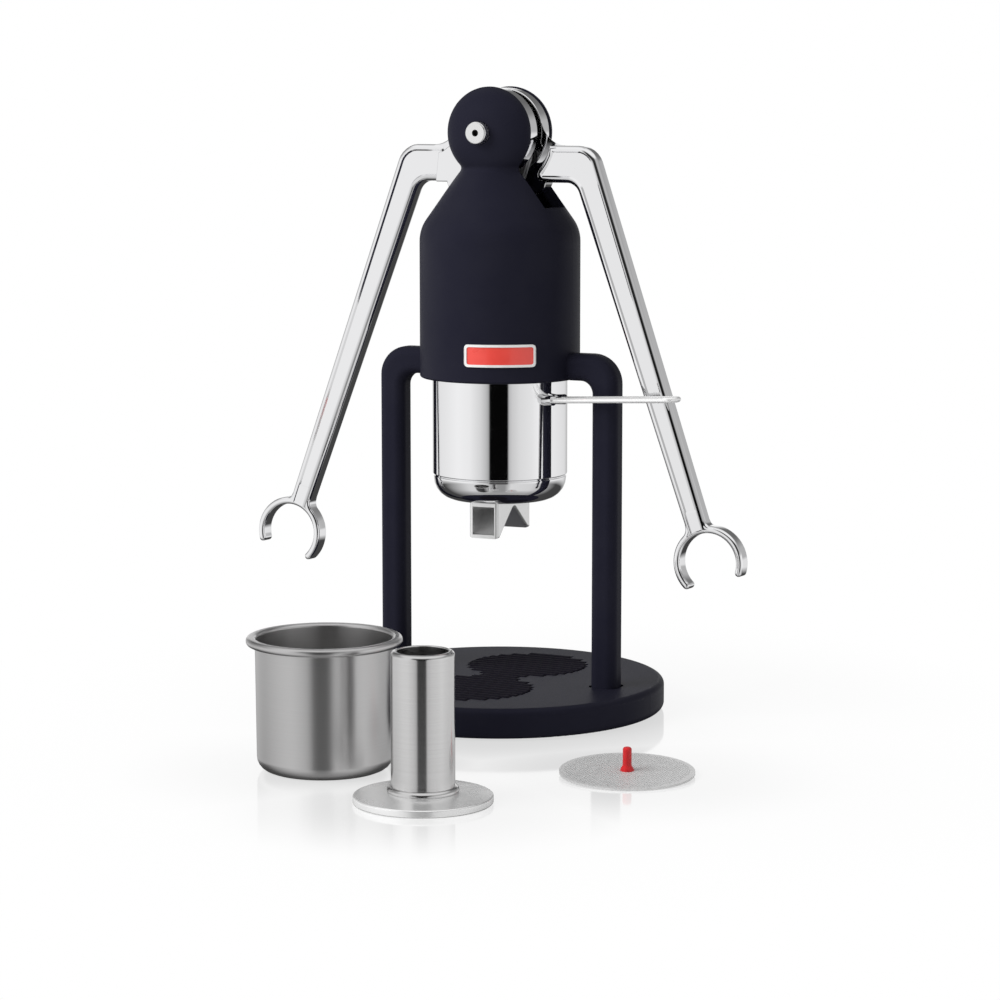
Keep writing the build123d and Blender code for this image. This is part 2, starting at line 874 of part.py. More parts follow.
def make_basket():
    rim_low = basket_height - basket_rim_height
    rim_radius = basket_radius + basket_rim_reach
    corner = (basket_radius, 0)
    outer_rim = (rim_radius, rim_low)
    outer_top = (rim_radius, basket_height)
    face = outline(
        (0, 0), corner, (basket_radius, rim_low), outer_rim, outer_top, (0, basket_height)
    )
    face = round_corner(face, corner, basket_corner)
    face = round_corner(face, outer_top, basket_rim_height / 2 - basket_wall / 2)
    face = round_corner(face, outer_rim, basket_rim_height / 2 - basket_wall / 2)
    inner_corner = (basket_bore, basket_wall)
    lip = (basket_bore, basket_height)
    inside = outline(
        (0, basket_wall),
        inner_corner,
        lip,
        (basket_bore, basket_height + overrun),
        (0, basket_height + overrun),
    )
    inside = round_corner(inside, inner_corner, basket_corner - basket_wall)
    return set_down(basket_place, turned(face) - turned(inside))


def make_tamper_foot():
    shoulder = tamper_stem_radius + tamper_bead
    face = outline(
        (0, 0),
        (tamper_radius, 0),
        (tamper_radius, tamper_edge_height),
        (shoulder, tamper_foot_height),
        (0, tamper_foot_height),
    )
    foot = turned(face)
    spigot_low = tamper_foot_height - tamper_spigot_depth
    foot -= rod_along_z(tamper_stem_radius, spigot_low, tamper_foot_height + overrun)
    return set_down(tamper_place, foot)


def make_tamper_stem():
    spigot_low = tamper_foot_height - tamper_spigot_depth
    stem = rod_along_z(tamper_stem_radius, spigot_low, tamper_height)
    bead = Pos(0, 0, tamper_foot_height + tamper_bead) * Torus(tamper_stem_radius, tamper_bead)
    stem += bead
    bore_floor = tamper_foot_height + tamper_bore_floor
    stem -= rod_along_z(tamper_bore_radius, bore_floor, tamper_height + overrun)
    return set_down(tamper_place, stem)


def lean_on_nub(piece):
    lean = degrees(asin(knob_nub / tamper_radius))
    return set_down(screen_place, Rot(Z=screen_lean_turn) * Pos(0, 0, knob_nub) * Rot(X=lean) * piece)


def make_dispersion_screen():
    return lean_on_nub(tube_along_z(tamper_radius, knob_spigot_radius, 0, screen_thickness))


def make_screen_knob():
    flare_top = screen_thickness + knob_flare_height
    top = screen_thickness + knob_height
    face = outline(
        (0, -knob_nub),
        (knob_spigot_radius, -knob_nub),
        (knob_spigot_radius, screen_thickness),
        (knob_flare_radius, screen_thickness),
        (knob_radius, flare_top),
        (knob_radius, top),
        (0, top),
    )
    return lean_on_nub(turned(face))


half_turn = Rot(Z=180)

right_leg = make_right_leg()
leg_screw = Pos(leg_offset, 0, 0) * make_leg_screw()
stud = make_stud()
right_arm = make_right_arm(arm_rake)
left_arm = half_turn * make_right_arm(-arm_rake)
right_hub_bush = make_right_hub_bush()
right_crank_pin = make_right_crank_pin()
right_link = make_right_link()
right_link_pin = make_right_link_pin()

nodes = {
    "base_plate": make_base_plate(),
    "foot_pad": make_foot_pad(),
    "drip_mat": make_drip_mat(),
    "right_leg": right_leg,
    "left_leg": half_turn * right_leg,
    "leg_screws": group([leg_screw, half_turn * leg_screw]),
    "leg_studs": group([stud, half_turn * stud]),
    "body_shell": make_body_shell(),
    "badge_plate": make_badge_plate(),
    "badge_frame": make_badge_frame(),
    "main_pin": make_main_pin(),
    "pin_cap": make_pin_cap(),
    "group_collar": make_group_collar(),
    "rod_guide": make_rod_guide(),
    "guide_bush": make_guide_bush(),
    "guide_screws": make_guide_screws(),
    "right_arm": right_arm,
    "right_hub_bush": right_hub_bush,
    "right_crank_pin": right_crank_pin,
    "left_arm": left_arm,
    "left_hub_bush": half_turn * right_hub_bush,
    "left_crank_pin": half_turn * right_crank_pin,
    "right_link": right_link,
    "right_link_pin": right_link_pin,
    "left_link": half_turn * right_link,
    "left_link_pin": half_turn * right_link_pin,
    "crosshead": make_crosshead(),
    "piston_rod": make_piston_rod(),
    "piston_head": make_piston_head(),
    "piston_seal": make_piston_seal(),
    "piston_bolt": make_piston_bolt(),
    "portafilter_cup": make_portafilter_cup(),
    "bayonet_lugs": make_bayonet_lugs(),
    "double_spout": make_double_spout(),
    "spout_screw": make_spout_screw(),
    "wire_handle": make_wire_handle(),
    "handle_ferrules": make_handle_ferrules(),
    "filter_basket": make_basket(),
    "tamper_foot": make_tamper_foot(),
    "tamper_stem": make_tamper_stem(),
    "dispersion_screen": make_dispersion_screen(),
    "screen_knob": make_screen_knob(),
}

os.makedirs("parts", exist_ok=True)
for name, piece in nodes.items():
    export_step(piece, f"parts/{name}.step")

print("pivot height", round(pivot_z, 2), "crank pin", round(crank_x, 3), round(crank_z, 3))
print("stroke", round(stroke, 3), "per radian", round(stroke / (2 * half_swing), 4))
print("crosshead pin", round(crosshead_pin_z, 2), "piston", round(piston_bottom, 2), round(piston_top, 2))
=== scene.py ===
import math
import bpy
from mathutils import Matrix, Vector


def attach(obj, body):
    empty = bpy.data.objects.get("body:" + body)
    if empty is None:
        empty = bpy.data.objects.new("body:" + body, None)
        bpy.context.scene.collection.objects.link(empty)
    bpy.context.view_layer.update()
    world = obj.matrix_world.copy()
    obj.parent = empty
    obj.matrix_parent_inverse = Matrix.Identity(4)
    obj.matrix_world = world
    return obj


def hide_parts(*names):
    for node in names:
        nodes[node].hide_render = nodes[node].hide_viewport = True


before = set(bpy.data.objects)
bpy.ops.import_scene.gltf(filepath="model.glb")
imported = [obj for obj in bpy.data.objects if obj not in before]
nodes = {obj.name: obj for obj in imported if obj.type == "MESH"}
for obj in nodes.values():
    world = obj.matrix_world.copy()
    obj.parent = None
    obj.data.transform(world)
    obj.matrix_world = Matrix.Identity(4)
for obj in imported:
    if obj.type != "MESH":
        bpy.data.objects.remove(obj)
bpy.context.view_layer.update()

mm = 0.001
print("frame loaded:", len(nodes), "nodes")


# Small tools, with sizes in millimetres

def leaveEdit():
    if bpy.context.mode != "OBJECT":
        bpy.ops.object.mode_set(mode="OBJECT")


def onlyThis(obj):
    leaveEdit()
    bpy.ops.object.select_all(action="DESELECT")
    obj.select_set(True)
    bpy.context.view_layer.objects.active = obj


def editThis(obj, kind="VERT"):
    onlyThis(obj)
    bpy.context.tool_settings.mesh_select_mode = [kind == k for k in ("VERT", "EDGE", "FACE")]
    bpy.ops.object.mode_set(mode="EDIT")


def clearPick(obj):
    onlyThis(obj)
    for group in (obj.data.vertices, obj.data.edges, obj.data.polygons):
        group.foreach_set("select", [False] * len(group))


def pickVerts(obj, test):
    clearPick(obj)
    for vert in obj.data.vertices:
        vert.select = test(vert.co / mm)
    editThis(obj, "VERT")


def pickEdges(obj, test):
    clearPick(obj)
    spots = [vert.co / mm for vert in obj.data.vertices]
    for edge in obj.data.edges:
        edge.select = test(spots[edge.vertices[0]], spots[edge.vertices[1]])
    editThis(obj, "EDGE")


def pickFaces(obj, test):
    clearPick(obj)
    for face in obj.data.polygons:
        face.select = test(face.center / mm, face.normal)
    editThis(obj, "FACE")


def drawLine(name, points):  # points are (x, z), drawn in the upright plane y = 0
    leaveEdit()
    bpy.ops.object.select_all(action="DESELECT")
    bpy.ops.mesh.primitive_plane_add(size=mm, location=(0, 0, 0))
    obj = bpy.context.active_object
    obj.name = obj.data.name = name
    editThis(obj)
    bpy.ops.mesh.select_all(action="SELECT")
    bpy.ops.mesh.merge(type="CENTER")
    last = points[0]
    bpy.ops.transform.translate(value=(last[0] * mm, 0, last[1] * mm))
    for spot in points[1:]:
        step = ((spot[0] - last[0]) * mm, 0, (spot[1] - last[1]) * mm)
        bpy.ops.mesh.extrude_vertices_move(TRANSFORM_OT_translate={"value": step})
        last = spot
    leaveEdit()
    return obj


def roundCorners(obj, corners, segments=6):  # corners are (x, z, size)
    for x, z, size in corners:
        pickVerts(obj, lambda p: math.hypot(p.x - x, p.z - z) < 0.02)
        bpy.ops.mesh.bevel(offset=size * mm, offset_type="OFFSET", segments=segments, affect="VERTICES")
    leaveEdit()


def arcPoints(centre, radius, start, end, steps):  # angles in degrees
    turns = [math.radians(start + (end - start) * i / steps) for i in range(steps + 1)]
    return [(centre[0] + radius * math.cos(t), centre[1] + radius * math.sin(t)) for t in turns]


def closeWire(obj):
    editThis(obj)
    bpy.ops.mesh.select_all(action="SELECT")
    bpy.ops.mesh.remove_doubles(threshold=0.001 * mm)
    leaveEdit()


def closeMesh(obj):
    closeWire(obj)
    editThis(obj)
    bpy.ops.mesh.select_all(action="SELECT")
    bpy.ops.mesh.normals_make_consistent(inside=False)
    leaveEdit()


def spinRound(obj, steps):
    editThis(obj)
    bpy.ops.mesh.select_all(action="SELECT")
    bpy.ops.mesh.spin(steps=steps, angle=2 * math.pi, center=(0, 0, 0), axis=(0, 0, 1))
    closeMesh(obj)
    return obj


def turnedPiece(name, profile, corners=(), steps=96, closed=False):
    obj = drawLine(name, list(profile) + ([profile[0]] if closed else []))
    if closed:
        closeWire(obj)
    roundCorners(obj, corners)
    return spinRound(obj, steps)


def cutPlate(name, outline, low, high, corners=()):  # closed outline, pushed through from y low to high
    obj = drawLine(name, list(outline) + [outline[0]])
    closeWire(obj)
    roundCorners(obj, corners)
    editThis(obj)
    bpy.ops.mesh.select_all(action="SELECT")
    bpy.ops.mesh.edge_face_add()
    bpy.ops.transform.translate(value=(0, low * mm, 0))
    bpy.ops.mesh.extrude_region_move(TRANSFORM_OT_translate={"value": (0, (high - low) * mm, 0)})
    closeMesh(obj)
    return obj


def softenEdges(size, segments):  # on the edges that are picked
    bpy.ops.mesh.bevel(offset=size * mm, offset_type="OFFSET", segments=segments, profile=0.5,
                       affect="EDGES", clamp_overlap=False)
    leaveEdit()


def softenSharp(obj, size, segments, sharp):
    editThis(obj, "EDGE")
    bpy.ops.mesh.select_all(action="DESELECT")
    bpy.ops.mesh.edges_select_sharp(sharpness=math.radians(sharp))
    softenEdges(size, segments)


def applyModifier(obj, kind, **settings):
    onlyThis(obj)
    mod = obj.modifiers.new(kind.title(), kind)
    for key, value in settings.items():
        setattr(mod, key, value)
    bpy.ops.object.modifier_apply(modifier=mod.name)


def combine(obj, tool, operation):
    applyModifier(obj, "BOOLEAN", operation=operation, object=tool, solver="EXACT")
    bpy.data.objects.remove(tool)
    closeMesh(obj)


def joinPieces(obj, others):
    onlyThis(obj)
    for other in others:
        other.select_set(True)
    bpy.ops.object.join()
    return obj


def moveMesh(obj, matrix):
    obj.matrix_world = matrix @ obj.matrix_world
    onlyThis(obj)
    bpy.ops.object.transform_apply(location=True, rotation=True, scale=True)


def shift(x, y, z):
    return Matrix.Translation((x * mm, y * mm, z * mm))


def turn(angle, axis):
    return Matrix.Rotation(math.radians(angle), 4, axis)


def finishPiece(obj, body, finish, standsFor=(), sharp=40):
    onlyThis(obj)
    bpy.ops.object.shade_smooth_by_angle(angle=math.radians(sharp))
    applyModifier(obj, "WEIGHTED_NORMAL", mode="FACE_AREA", weight=50, keep_sharp=True)
    obj.data.materials.clear()
    obj.data.materials.append(finish)
    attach(obj, body)
    if standsFor:
        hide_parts(*standsFor)
    return obj


# Finishes

def startFinish(name, colour, metallic, roughness):
    finish = bpy.data.materials.new(name)
    finish.use_nodes = True
    shader = finish.node_tree.nodes["Principled BSDF"]
    shader.inputs["Base Color"].default_value = (*colour, 1)
    shader.inputs["Metallic"].default_value = metallic
    shader.inputs["Roughness"].default_value = roughness
    return finish, finish.node_tree, shader


def grain(tree, stretch, scale, detail):  # noise on object coordinates, per metre
    coords = tree.nodes.new("ShaderNodeTexCoord")
    mapping = tree.nodes.new("ShaderNodeMapping")
    mapping.inputs["Scale"].default_value = stretch
    noise = tree.nodes.new("ShaderNodeTexNoise")
    noise.inputs["Scale"].default_value = scale
    noise.inputs["Detail"].default_value = detail
    tree.links.new(coords.outputs["Object"], mapping.inputs["Vector"])
    tree.links.new(mapping.outputs["Vector"], noise.inputs["Vector"])
    return noise.outputs["Fac"]


def spread(tree, value, low, high):
    ramp = tree.nodes.new("ShaderNodeMapRange")
    ramp.inputs["From Min"].default_value = 0.3
    ramp.inputs["From Max"].default_value = 0.7
    ramp.inputs["To Min"].default_value = low
    ramp.inputs["To Max"].default_value = high
    tree.links.new(value, ramp.inputs["Value"])
    return ramp.outputs["Result"]


def tint(tree, value, first, second):
    ramp = tree.nodes.new("ShaderNodeValToRGB")
    ramp.color_ramp.elements[0].position = 0.35
    ramp.color_ramp.elements[0].color = (*first, 1)
    ramp.color_ramp.elements[1].position = 0.65
    ramp.color_ramp.elements[1].color = (*second, 1)
    tree.links.new(value, ramp.inputs["Fac"])
    return ramp.outputs["Color"]


def bumps(tree, shader, value, strength, depth):
    bump = tree.nodes.new("ShaderNodeBump")
    bump.inputs["Strength"].default_value = strength
    bump.inputs["Distance"].default_value = depth * mm
    tree.links.new(value, bump.inputs["Height"])
    tree.links.new(bump.outputs["Normal"], shader.inputs["Normal"])


def makeDarkCoat():  # fine powder coat, nearly black with a cold tint
    finish, tree, shader = startFinish("darkCoat", (0.0132, 0.0132, 0.022), 0, 0.45)
    powder = grain(tree, (1, 1, 1), 2600, 2)
    patches = grain(tree, (1, 1, 1), 45, 3)
    colour = tint(tree, patches, (0.0122, 0.0122, 0.021), (0.0142, 0.0142, 0.023))
    tree.links.new(colour, shader.inputs["Base Color"])
    tree.links.new(spread(tree, powder, 0.40, 0.50), shader.inputs["Roughness"])
    shader.inputs["Specular IOR Level"].default_value = 0.06
    shader.inputs["Specular Tint"].default_value = (0.72, 0.72, 1.0, 1)
    bumps(tree, shader, powder, 0.35, 0.05)
    return finish


def makeChrome():
    finish, tree, shader = startFinish("chrome", (0.88, 0.88, 0.89), 1, 0.05)
    smears = grain(tree, (1, 1, 1), 70, 4)
    tree.links.new(spread(tree, smears, 0.03, 0.075), shader.inputs["Roughness"])
    return finish


def makeBrushed(name, colour, rough):  # lathe lines, which run round at right angles to z
    finish, tree, shader = startFinish(name, colour, 1, rough)
    lines = grain(tree, (12, 12, 9000), 1, 4)
    lighter = tuple(min(1, c * 1.03) for c in colour)
    darker = tuple(c * 0.96 for c in colour)
    tree.links.new(tint(tree, lines, darker, lighter), shader.inputs["Base Color"])
    tree.links.new(spread(tree, lines, rough - 0.02, rough + 0.02), shader.inputs["Roughness"])
    shader.inputs["Anisotropic"].default_value = 0.7
    shader.inputs["Anisotropic Rotation"].default_value = 0.25
    bumps(tree, shader, lines, 0.03, 0.002)
    return finish


def makePlain(name, colour, second, metallic, rough, scale, strength, depth, shine=0.5):
    finish, tree, shader = startFinish(name, colour, metallic, rough)
    shader.inputs["Specular IOR Level"].default_value = shine
    mottle = grain(tree, (1, 1, 1), scale, 3)
    tree.links.new(tint(tree, mottle, colour, second), shader.inputs["Base Color"])
    tree.links.new(spread(tree, mottle, rough - 0.05, rough + 0.06), shader.inputs["Roughness"])
    bumps(tree, shader, mottle, strength, depth)
    return finish, shader


def makeEnamel():
    first, second = (0.76, 0.056, 0.040), (0.80, 0.064, 0.047)
    finish, shader = makePlain("redEnamel", first, second, 0, 0.3, 120, 0.1, 0.02)
    shader.inputs["Coat Weight"].default_value = 0.6
    shader.inputs["Coat Roughness"].default_value = 0.08
    return finish


def grey(level):
    return (level, level, level)


plainLooks = {  # name, two colours, metallic, roughness, grain per metre, bump strength and depth, shine
    "turned_steel": ("turnedSteel", grey(0.87), grey(0.88), 0.62, 0.24, 60, 0.02, 0.001),
    "sieve_steel": ("sieveSteel", grey(0.76), grey(0.80), 0.3, 0.5, 400, 0.1, 0.01),
    "spout_chrome": ("spoutChrome", grey(0.80), grey(0.82), 0.78, 0.16, 900, 0.05, 0.005),
    "wire_chrome": ("wireChrome", grey(0.88), grey(0.90), 0.4, 0.15, 900, 0.05, 0.005),
    "zinc_steel": ("zincSteel", (0.52, 0.53, 0.54), grey(0.6), 1, 0.38, 300, 0.2, 0.02),
    "pin_metal": ("pinMetal", grey(0.86), grey(0.90), 1, 0.3, 200, 0.05, 0.005),
    "badge_metal": ("badgeMetal", (0.84, 0.84, 0.83), (0.88, 0.88, 0.87), 0.2, 0.4, 250, 0.1, 0.01),
    "red_silicone": ("redSilicone", (0.60, 0.010, 0.014), (0.66, 0.014, 0.018), 0, 0.42, 700, 0.2, 0.03),
    "black_rubber": ("blackRubber", (0.010, 0.010, 0.011), (0.016, 0.016, 0.017), 0, 0.62, 900, 0.3, 0.05),
    "mat_rubber": ("matRubber", (0.008, 0.007, 0.011), (0.011, 0.010, 0.015), 0, 0.7, 1100, 0.3, 0.05, 0.05),
    "cast_aluminium": ("castAluminium", (0.6, 0.6, 0.61), (0.68, 0.68, 0.69), 1, 0.45, 800, 0.4, 0.06),
    "bronze": ("bronze", (0.46, 0.27, 0.11), (0.53, 0.32, 0.14), 1, 0.36, 200, 0.2, 0.02),
}
finishes = {
    "dark_coat": makeDarkCoat(),
    "chrome": makeChrome(),
    "brushed_steel": makeBrushed("brushedSteel", (0.66, 0.655, 0.655), 0.17),
    "basket_steel": makeBrushed("basketSteel", (0.58, 0.575, 0.575), 0.30),
    "red_enamel": makeEnamel(),
}
for look, values in plainLooks.items():
    finishes[look] = makePlain(*values)[0]
print("finishes made:", len(finishes))


# Arms

armSizes = {
    "pivotHeight": 275.0, "pinHole": 5.1, "pinHoleCut": 40.0,
    "hubRadius": 20.8, "hubRound": 0.6, "plateNear": 2.6, "plateFar": 10.6,
    "webNear": 2.7, "webFar": 4.2, "webStart": 33.0, "webLap": 1.0, "webDip": 2.0, "webFrom": 266.0,
    "webInside": 12.0, "webLow": -19.0, "webToe": -21.0, "webEdge": 1.1, "rootTop": -6.0, "rootBottom": -23.2,
    "padTop": -9.3, "padCorner": 25.5, "padAngle": -15.0, "padSpread": 6.0, "padRound": 1.0,
    "padEndRound": 1.5, "lobeCentre": (15.0, -21.5), "lobeRadius": 8.0,
    "barRoot": 27.8, "toeRound": 3.5, "barLean": 19.67,
    "elbowInner": (40.8, -23.2), "elbowOuterRound": 7.5, "elbowInnerRound": 4.5,
    "barFoot": (109.8, -194.4), "barTopWidth": 14.0, "barFootWidth": 10.2, "barThick": 9.0,
    "clawCentre": (110.8, -196.1), "clawBore": 13.8, "clawWall": 3.4,
    "rightTip": -14.0, "leftTip": -133.0, "outerFillet": 2.5, "innerFillet": 4.5,
    "rampTop": (27.2, -9.5), "rampFoot": (28.6, -22.6), "rampRun": 1.2, "rampDrop": 6.1,
    "edgeRound": 2.5, "clawRound": 1.5, "clawThick": 8.3, "neck": 7.0, "neckDive": 1.6, "barEnd": 16.0,
    "rimWidth": 0.7, "rimTall": 0.75, "rake": 1.75,
}


def filletOnRing(start, end, side, ring, ringRadius, fillet):
    along = (end - start).normalized()
    out = Vector((along.y, -along.x)) * side
    base = start + out * fillet - ring
    half = base.dot(along)
    travel = -half - math.sqrt(half * half - base.dot(base) + (ringRadius + fillet) ** 2)
    centre = start + out * fillet + along * travel
    return centre, start + along * travel, ring + (centre - ring) * (ringRadius / (ringRadius + fillet))


def angleOf(point, centre):
    return math.degrees(math.atan2(point.y - centre.y, point.x - centre.x))


def filletArc(centre, first, last, radius, steps=6):
    start, end = angleOf(first, centre), angleOf(last, centre)
    end += 360 * round((start - end) / 360)
    return arcPoints(centre, radius, start, end, steps)


def clawTip(at, start):  # half circle across the claw's wall, without its two ends
    s = armSizes
    middle = arcPoints(s["clawCentre"], s["clawBore"] + s["clawWall"] / 2, at, at, 1)[0]
    return arcPoints(middle, s["clawWall"] / 2, at + start + 180, at + start, 8)[1:-1]


def barLines():  # outer and inner side of the forearm, each from the elbow to the foot
    s = armSizes
    lean = math.radians(s["barLean"])
    slant, across = Vector((math.sin(lean), -math.cos(lean))), Vector((math.cos(lean), math.sin(lean)))
    innerTop, foot = Vector(s["elbowInner"]), Vector(s["barFoot"])
    outerTop = innerTop + across * s["barTopWidth"]
    corner = outerTop + slant * ((s["rootTop"] - outerTop.y) / slant.y)
    half = across * s["barFootWidth"] / 2
    return (corner, foot + half), (innerTop, foot - half)


def makeForearm(name):
    s = armSizes
    (corner, outerFoot), (innerTop, innerFoot) = barLines()
    ring = Vector(s["clawCentre"])
    outerEnd = filletOnRing(corner, outerFoot, -1, ring, s["barEnd"], 0)[1]
    innerEnd = filletOnRing(innerTop, innerFoot, 1, ring, s["barEnd"], 0)[1]
    rootStart = math.degrees(math.asin(s["rootTop"] / s["barRoot"]))
    toeDrop = s["rootBottom"] + s["toeRound"]
    toe = Vector((math.sqrt((s["barRoot"] + s["toeRound"]) ** 2 - toeDrop ** 2), toeDrop))
    rootEnd = angleOf(toe, Vector((0, 0)))
    outline = [tuple(corner), tuple(outerEnd), tuple(innerEnd), tuple(innerTop)]
    outline += arcPoints(toe, s["toeRound"], 270, rootEnd + 180, 8)
    outline += arcPoints((0, 0), s["barRoot"], rootEnd, rootStart, 3)[1:]
    half = s["barThick"] / 2
    rounds = [(*corner, s["elbowOuterRound"]), (*innerTop, s["elbowInnerRound"])]
    bar = cutPlate(name, outline, -half, half, rounds)
    atEnd = lambda p: math.hypot(p.x - ring.x, p.z - ring.y) < s["barEnd"] + 0.01
    pickEdges(bar, lambda a, b: abs(a.y - b.y) < 0.01 and not (atEnd(a) and atEnd(b)))
    softenEdges(s["edgeRound"], 5)
    pickFaces(bar, lambda c, n: abs(c.y) > half - 0.01 and abs(n.y) > 0.99)
    bpy.ops.mesh.inset(thickness=s["rimWidth"] * mm, depth=-s["rimTall"] * mm, use_boundary=True)
    closeMesh(bar)
    return bar


def makeClaw(name):
    s = armSizes
    (corner, outerFoot), (innerTop, innerFoot) = barLines()
    ring, ringRadius = Vector(s["clawCentre"]), s["clawBore"] + s["clawWall"]
    right, rightLine, rightRing = filletOnRing(corner, outerFoot, -1, ring, ringRadius, s["outerFillet"])
    left, leftLine, leftRing = filletOnRing(innerTop, innerFoot, 1, ring, ringRadius, s["innerFillet"])
    inward = (leftLine - rightLine).normalized() * s["neckDive"]
    neckRight = rightLine + (corner - outerFoot).normalized() * s["neck"] + inward
    neckLeft = leftLine + (innerTop - innerFoot).normalized() * s["neck"] - inward
    leftTip = s["leftTip"] + 360
    outline = [tuple(neckLeft), tuple(neckRight)]
    outline += filletArc(right, rightLine, rightRing, s["outerFillet"])
    outline += arcPoints(ring, ringRadius, angleOf(rightRing, ring), s["rightTip"], 22)[1:]
    outline += clawTip(s["rightTip"], -180)
    outline += arcPoints(ring, s["clawBore"], s["rightTip"], leftTip, 60)
    outline += clawTip(leftTip, 0)
    outline += arcPoints(ring, ringRadius, leftTip, angleOf(leftRing, ring), 20)
    outline += filletArc(left, leftRing, leftLine, s["innerFillet"])[1:]
    half = s["clawThick"] / 2
    claw = cutPlate(name, outline, -half, half)
    pickEdges(claw, lambda a, b: abs(a.y - b.y) < 0.01)
    softenEdges(s["clawRound"], 4)
    return claw


def makeBar(name):
    bar = makeForearm(name)
    combine(bar, makeClaw(name + "Claw"), "UNION")
    return bar


def makeHub(name):
    s = armSizes
    reach, lobe = s["rampFoot"][0] + 2 * s["rampRun"], Vector(s["lobeCentre"])
    lean = math.degrees(math.acos((s["hubRadius"] - s["lobeRadius"]) / lobe.length))
    side = math.degrees(math.atan2(lobe.y, lobe.x)) - lean
    padEnd = arcPoints((0, 0), s["hubRadius"], s["padAngle"], s["padAngle"], 1)[0]
    outline = [(reach, s["padTop"]), (s["padCorner"], s["padTop"]), padEnd]
    outline += arcPoints((0, 0), s["hubRadius"], s["padAngle"] + s["padSpread"], side + 360, 60)
    lobeEnd = math.degrees(math.asin((s["rootBottom"] - lobe.y) / s["lobeRadius"]))
    outline += arcPoints(lobe, s["lobeRadius"], side, lobeEnd, 14)
    outline += [(reach, s["rootBottom"])]
    rounds = [(s["padCorner"], s["padTop"], s["padRound"]), (*padEnd, s["padEndRound"])]
    hub = cutPlate(name, outline, s["plateNear"], s["plateFar"], rounds)
    crease = Vector((s["rampFoot"][0] - s["rampTop"][0], 0, s["rampFoot"][1] - s["rampTop"][1]))
    normal = crease.cross(Vector((s["rampRun"], -s["rampDrop"], 0))).normalized()
    normal *= 1 if normal.x > 0 else -1
    brow = Vector((s["rampTop"][0], s["plateFar"], s["rampTop"][1]))
    editThis(hub, "FACE")
    bpy.ops.mesh.select_all(action="SELECT")
    bpy.ops.mesh.bisect(plane_co=brow * mm, plane_no=normal, use_fill=True, clear_outer=True)
    closeMesh(hub)
    onRamp = lambda p: abs((p - brow).dot(normal)) < 0.01
    onFar = lambda p: p.y > s["plateFar"] - 0.01
    onDisc = lambda p: p.y < s["plateNear"] + 0.01 and p.x < s["padCorner"] - 1
    sides = (onRamp, onFar, onDisc)
    pickEdges(hub, lambda a, b: min(a.x, b.x) < reach - 1 and any(on(a) and on(b) for on in sides))
    softenEdges(s["hubRound"], 3)
    return hub


def makeWeb(name):  # thin sweep from the hub's rim to the bar's top
    s = armSizes
    start, drop, rim = s["webStart"], -s["rootTop"], s["hubRadius"]
    sweep = (start ** 2 + drop ** 2 - rim ** 2) / 2 / (rim + drop)
    centre = Vector((start, sweep - drop))
    end = 180 + angleOf(centre, Vector((0, 0)))
    lap = start + s["webLap"]
    outline = [(lap, s["rootTop"] - s["webDip"])] + arcPoints(centre, sweep, s["webFrom"], end, 14)
    outline += [(s["webInside"], outline[-1][1]), (s["webInside"], s["webLow"]), (lap, s["webToe"])]
    web = cutPlate(name, outline, s["webNear"], s["webFar"])
    pickEdges(web, lambda a, b: min(a.y, b.y) > s["webFar"] - 0.01 and min(a.z, b.z) > s["rootTop"] - 0.5)
    softenEdges(s["webEdge"], 3)
    return web


def makeArm(name, side):
    s = armSizes
    bar = makeBar(name)
    moveMesh(bar, turn(-s["rake"] * side, "X"))
    combine(bar, makeHub(name + "Hub"), "UNION")
    combine(bar, makeWeb(name + "Web"), "UNION")
    bpy.ops.object.select_all(action="DESELECT")
    bpy.ops.mesh.primitive_cylinder_add(vertices=64, radius=s["pinHole"] * mm,
                                        depth=s["pinHoleCut"] * mm, rotation=(math.pi / 2, 0, 0))
    combine(bar, bpy.context.active_object, "DIFFERENCE")
    moveMesh(bar, shift(0, 0, s["pivotHeight"]) @ turn(0 if side > 0 else 180, "Z"))
    return bar


finishPiece(makeArm("rightArm", 1), "right_arm", finishes["chrome"], ["right_arm"])
finishPiece(makeArm("leftArm", -1), "left_arm", finishes["chrome"], ["left_arm"])
print("arms made")


# Cup and spout

cupSizes = {
    "radius": 32.0, "lowRadius": 31.5, "bore": 30.8, "bottom": 101.5, "top": 170.0, "floor": 104.5,
    "lineAt": 113.4, "lineDeep": 0.35, "lineTall": 0.5, "lineSlope": 0.2, "lineRound": 0.15, "stepTall": 0.5,
    "stepRound": 0.25, "cornerRound": 10.5, "rimRound": 0.6, "floorRound": 6.0,
}
spoutSizes = {
    "turn": 4.5, "half": 21.5, "width": 14.5, "top": 101.6, "bottom": 84.9, "lip": 3.2, "notchTop": 98.0,
    "notchRound": 2.6, "edgeRound": 1.4, "mouthWidth": 11.0, "mouthTop": 99.9, "mouthFloor": 86.6,
    "slopeStart": 20.0, "post": 3.2, "postTall": 2.4, "mouthRound": 0.96,
}


def makeCup(name):
    s = cupSizes
    line, deep = s["lineAt"], s["lowRadius"] - s["lineDeep"]
    lineLow, step = line - s["lineTall"], line + s["stepTall"]
    profile = [(0, s["bottom"]), (s["lowRadius"], s["bottom"]), (s["lowRadius"], lineLow),
               (deep, lineLow + s["lineSlope"]), (deep, line), (s["radius"], step),
               (s["radius"], s["top"]), (s["bore"], s["top"]), (s["bore"], s["floor"]), (0, s["floor"])]
    corners = [(s["lowRadius"], s["bottom"], s["cornerRound"]), (s["radius"], s["top"], s["rimRound"]),
               (s["bore"], s["top"], s["rimRound"]), (s["bore"], s["floor"], s["floorRound"]),
               (s["radius"], step, s["stepRound"]), (s["lowRadius"], lineLow, s["lineRound"])]
    return turnedPiece(name, profile, corners, 128)


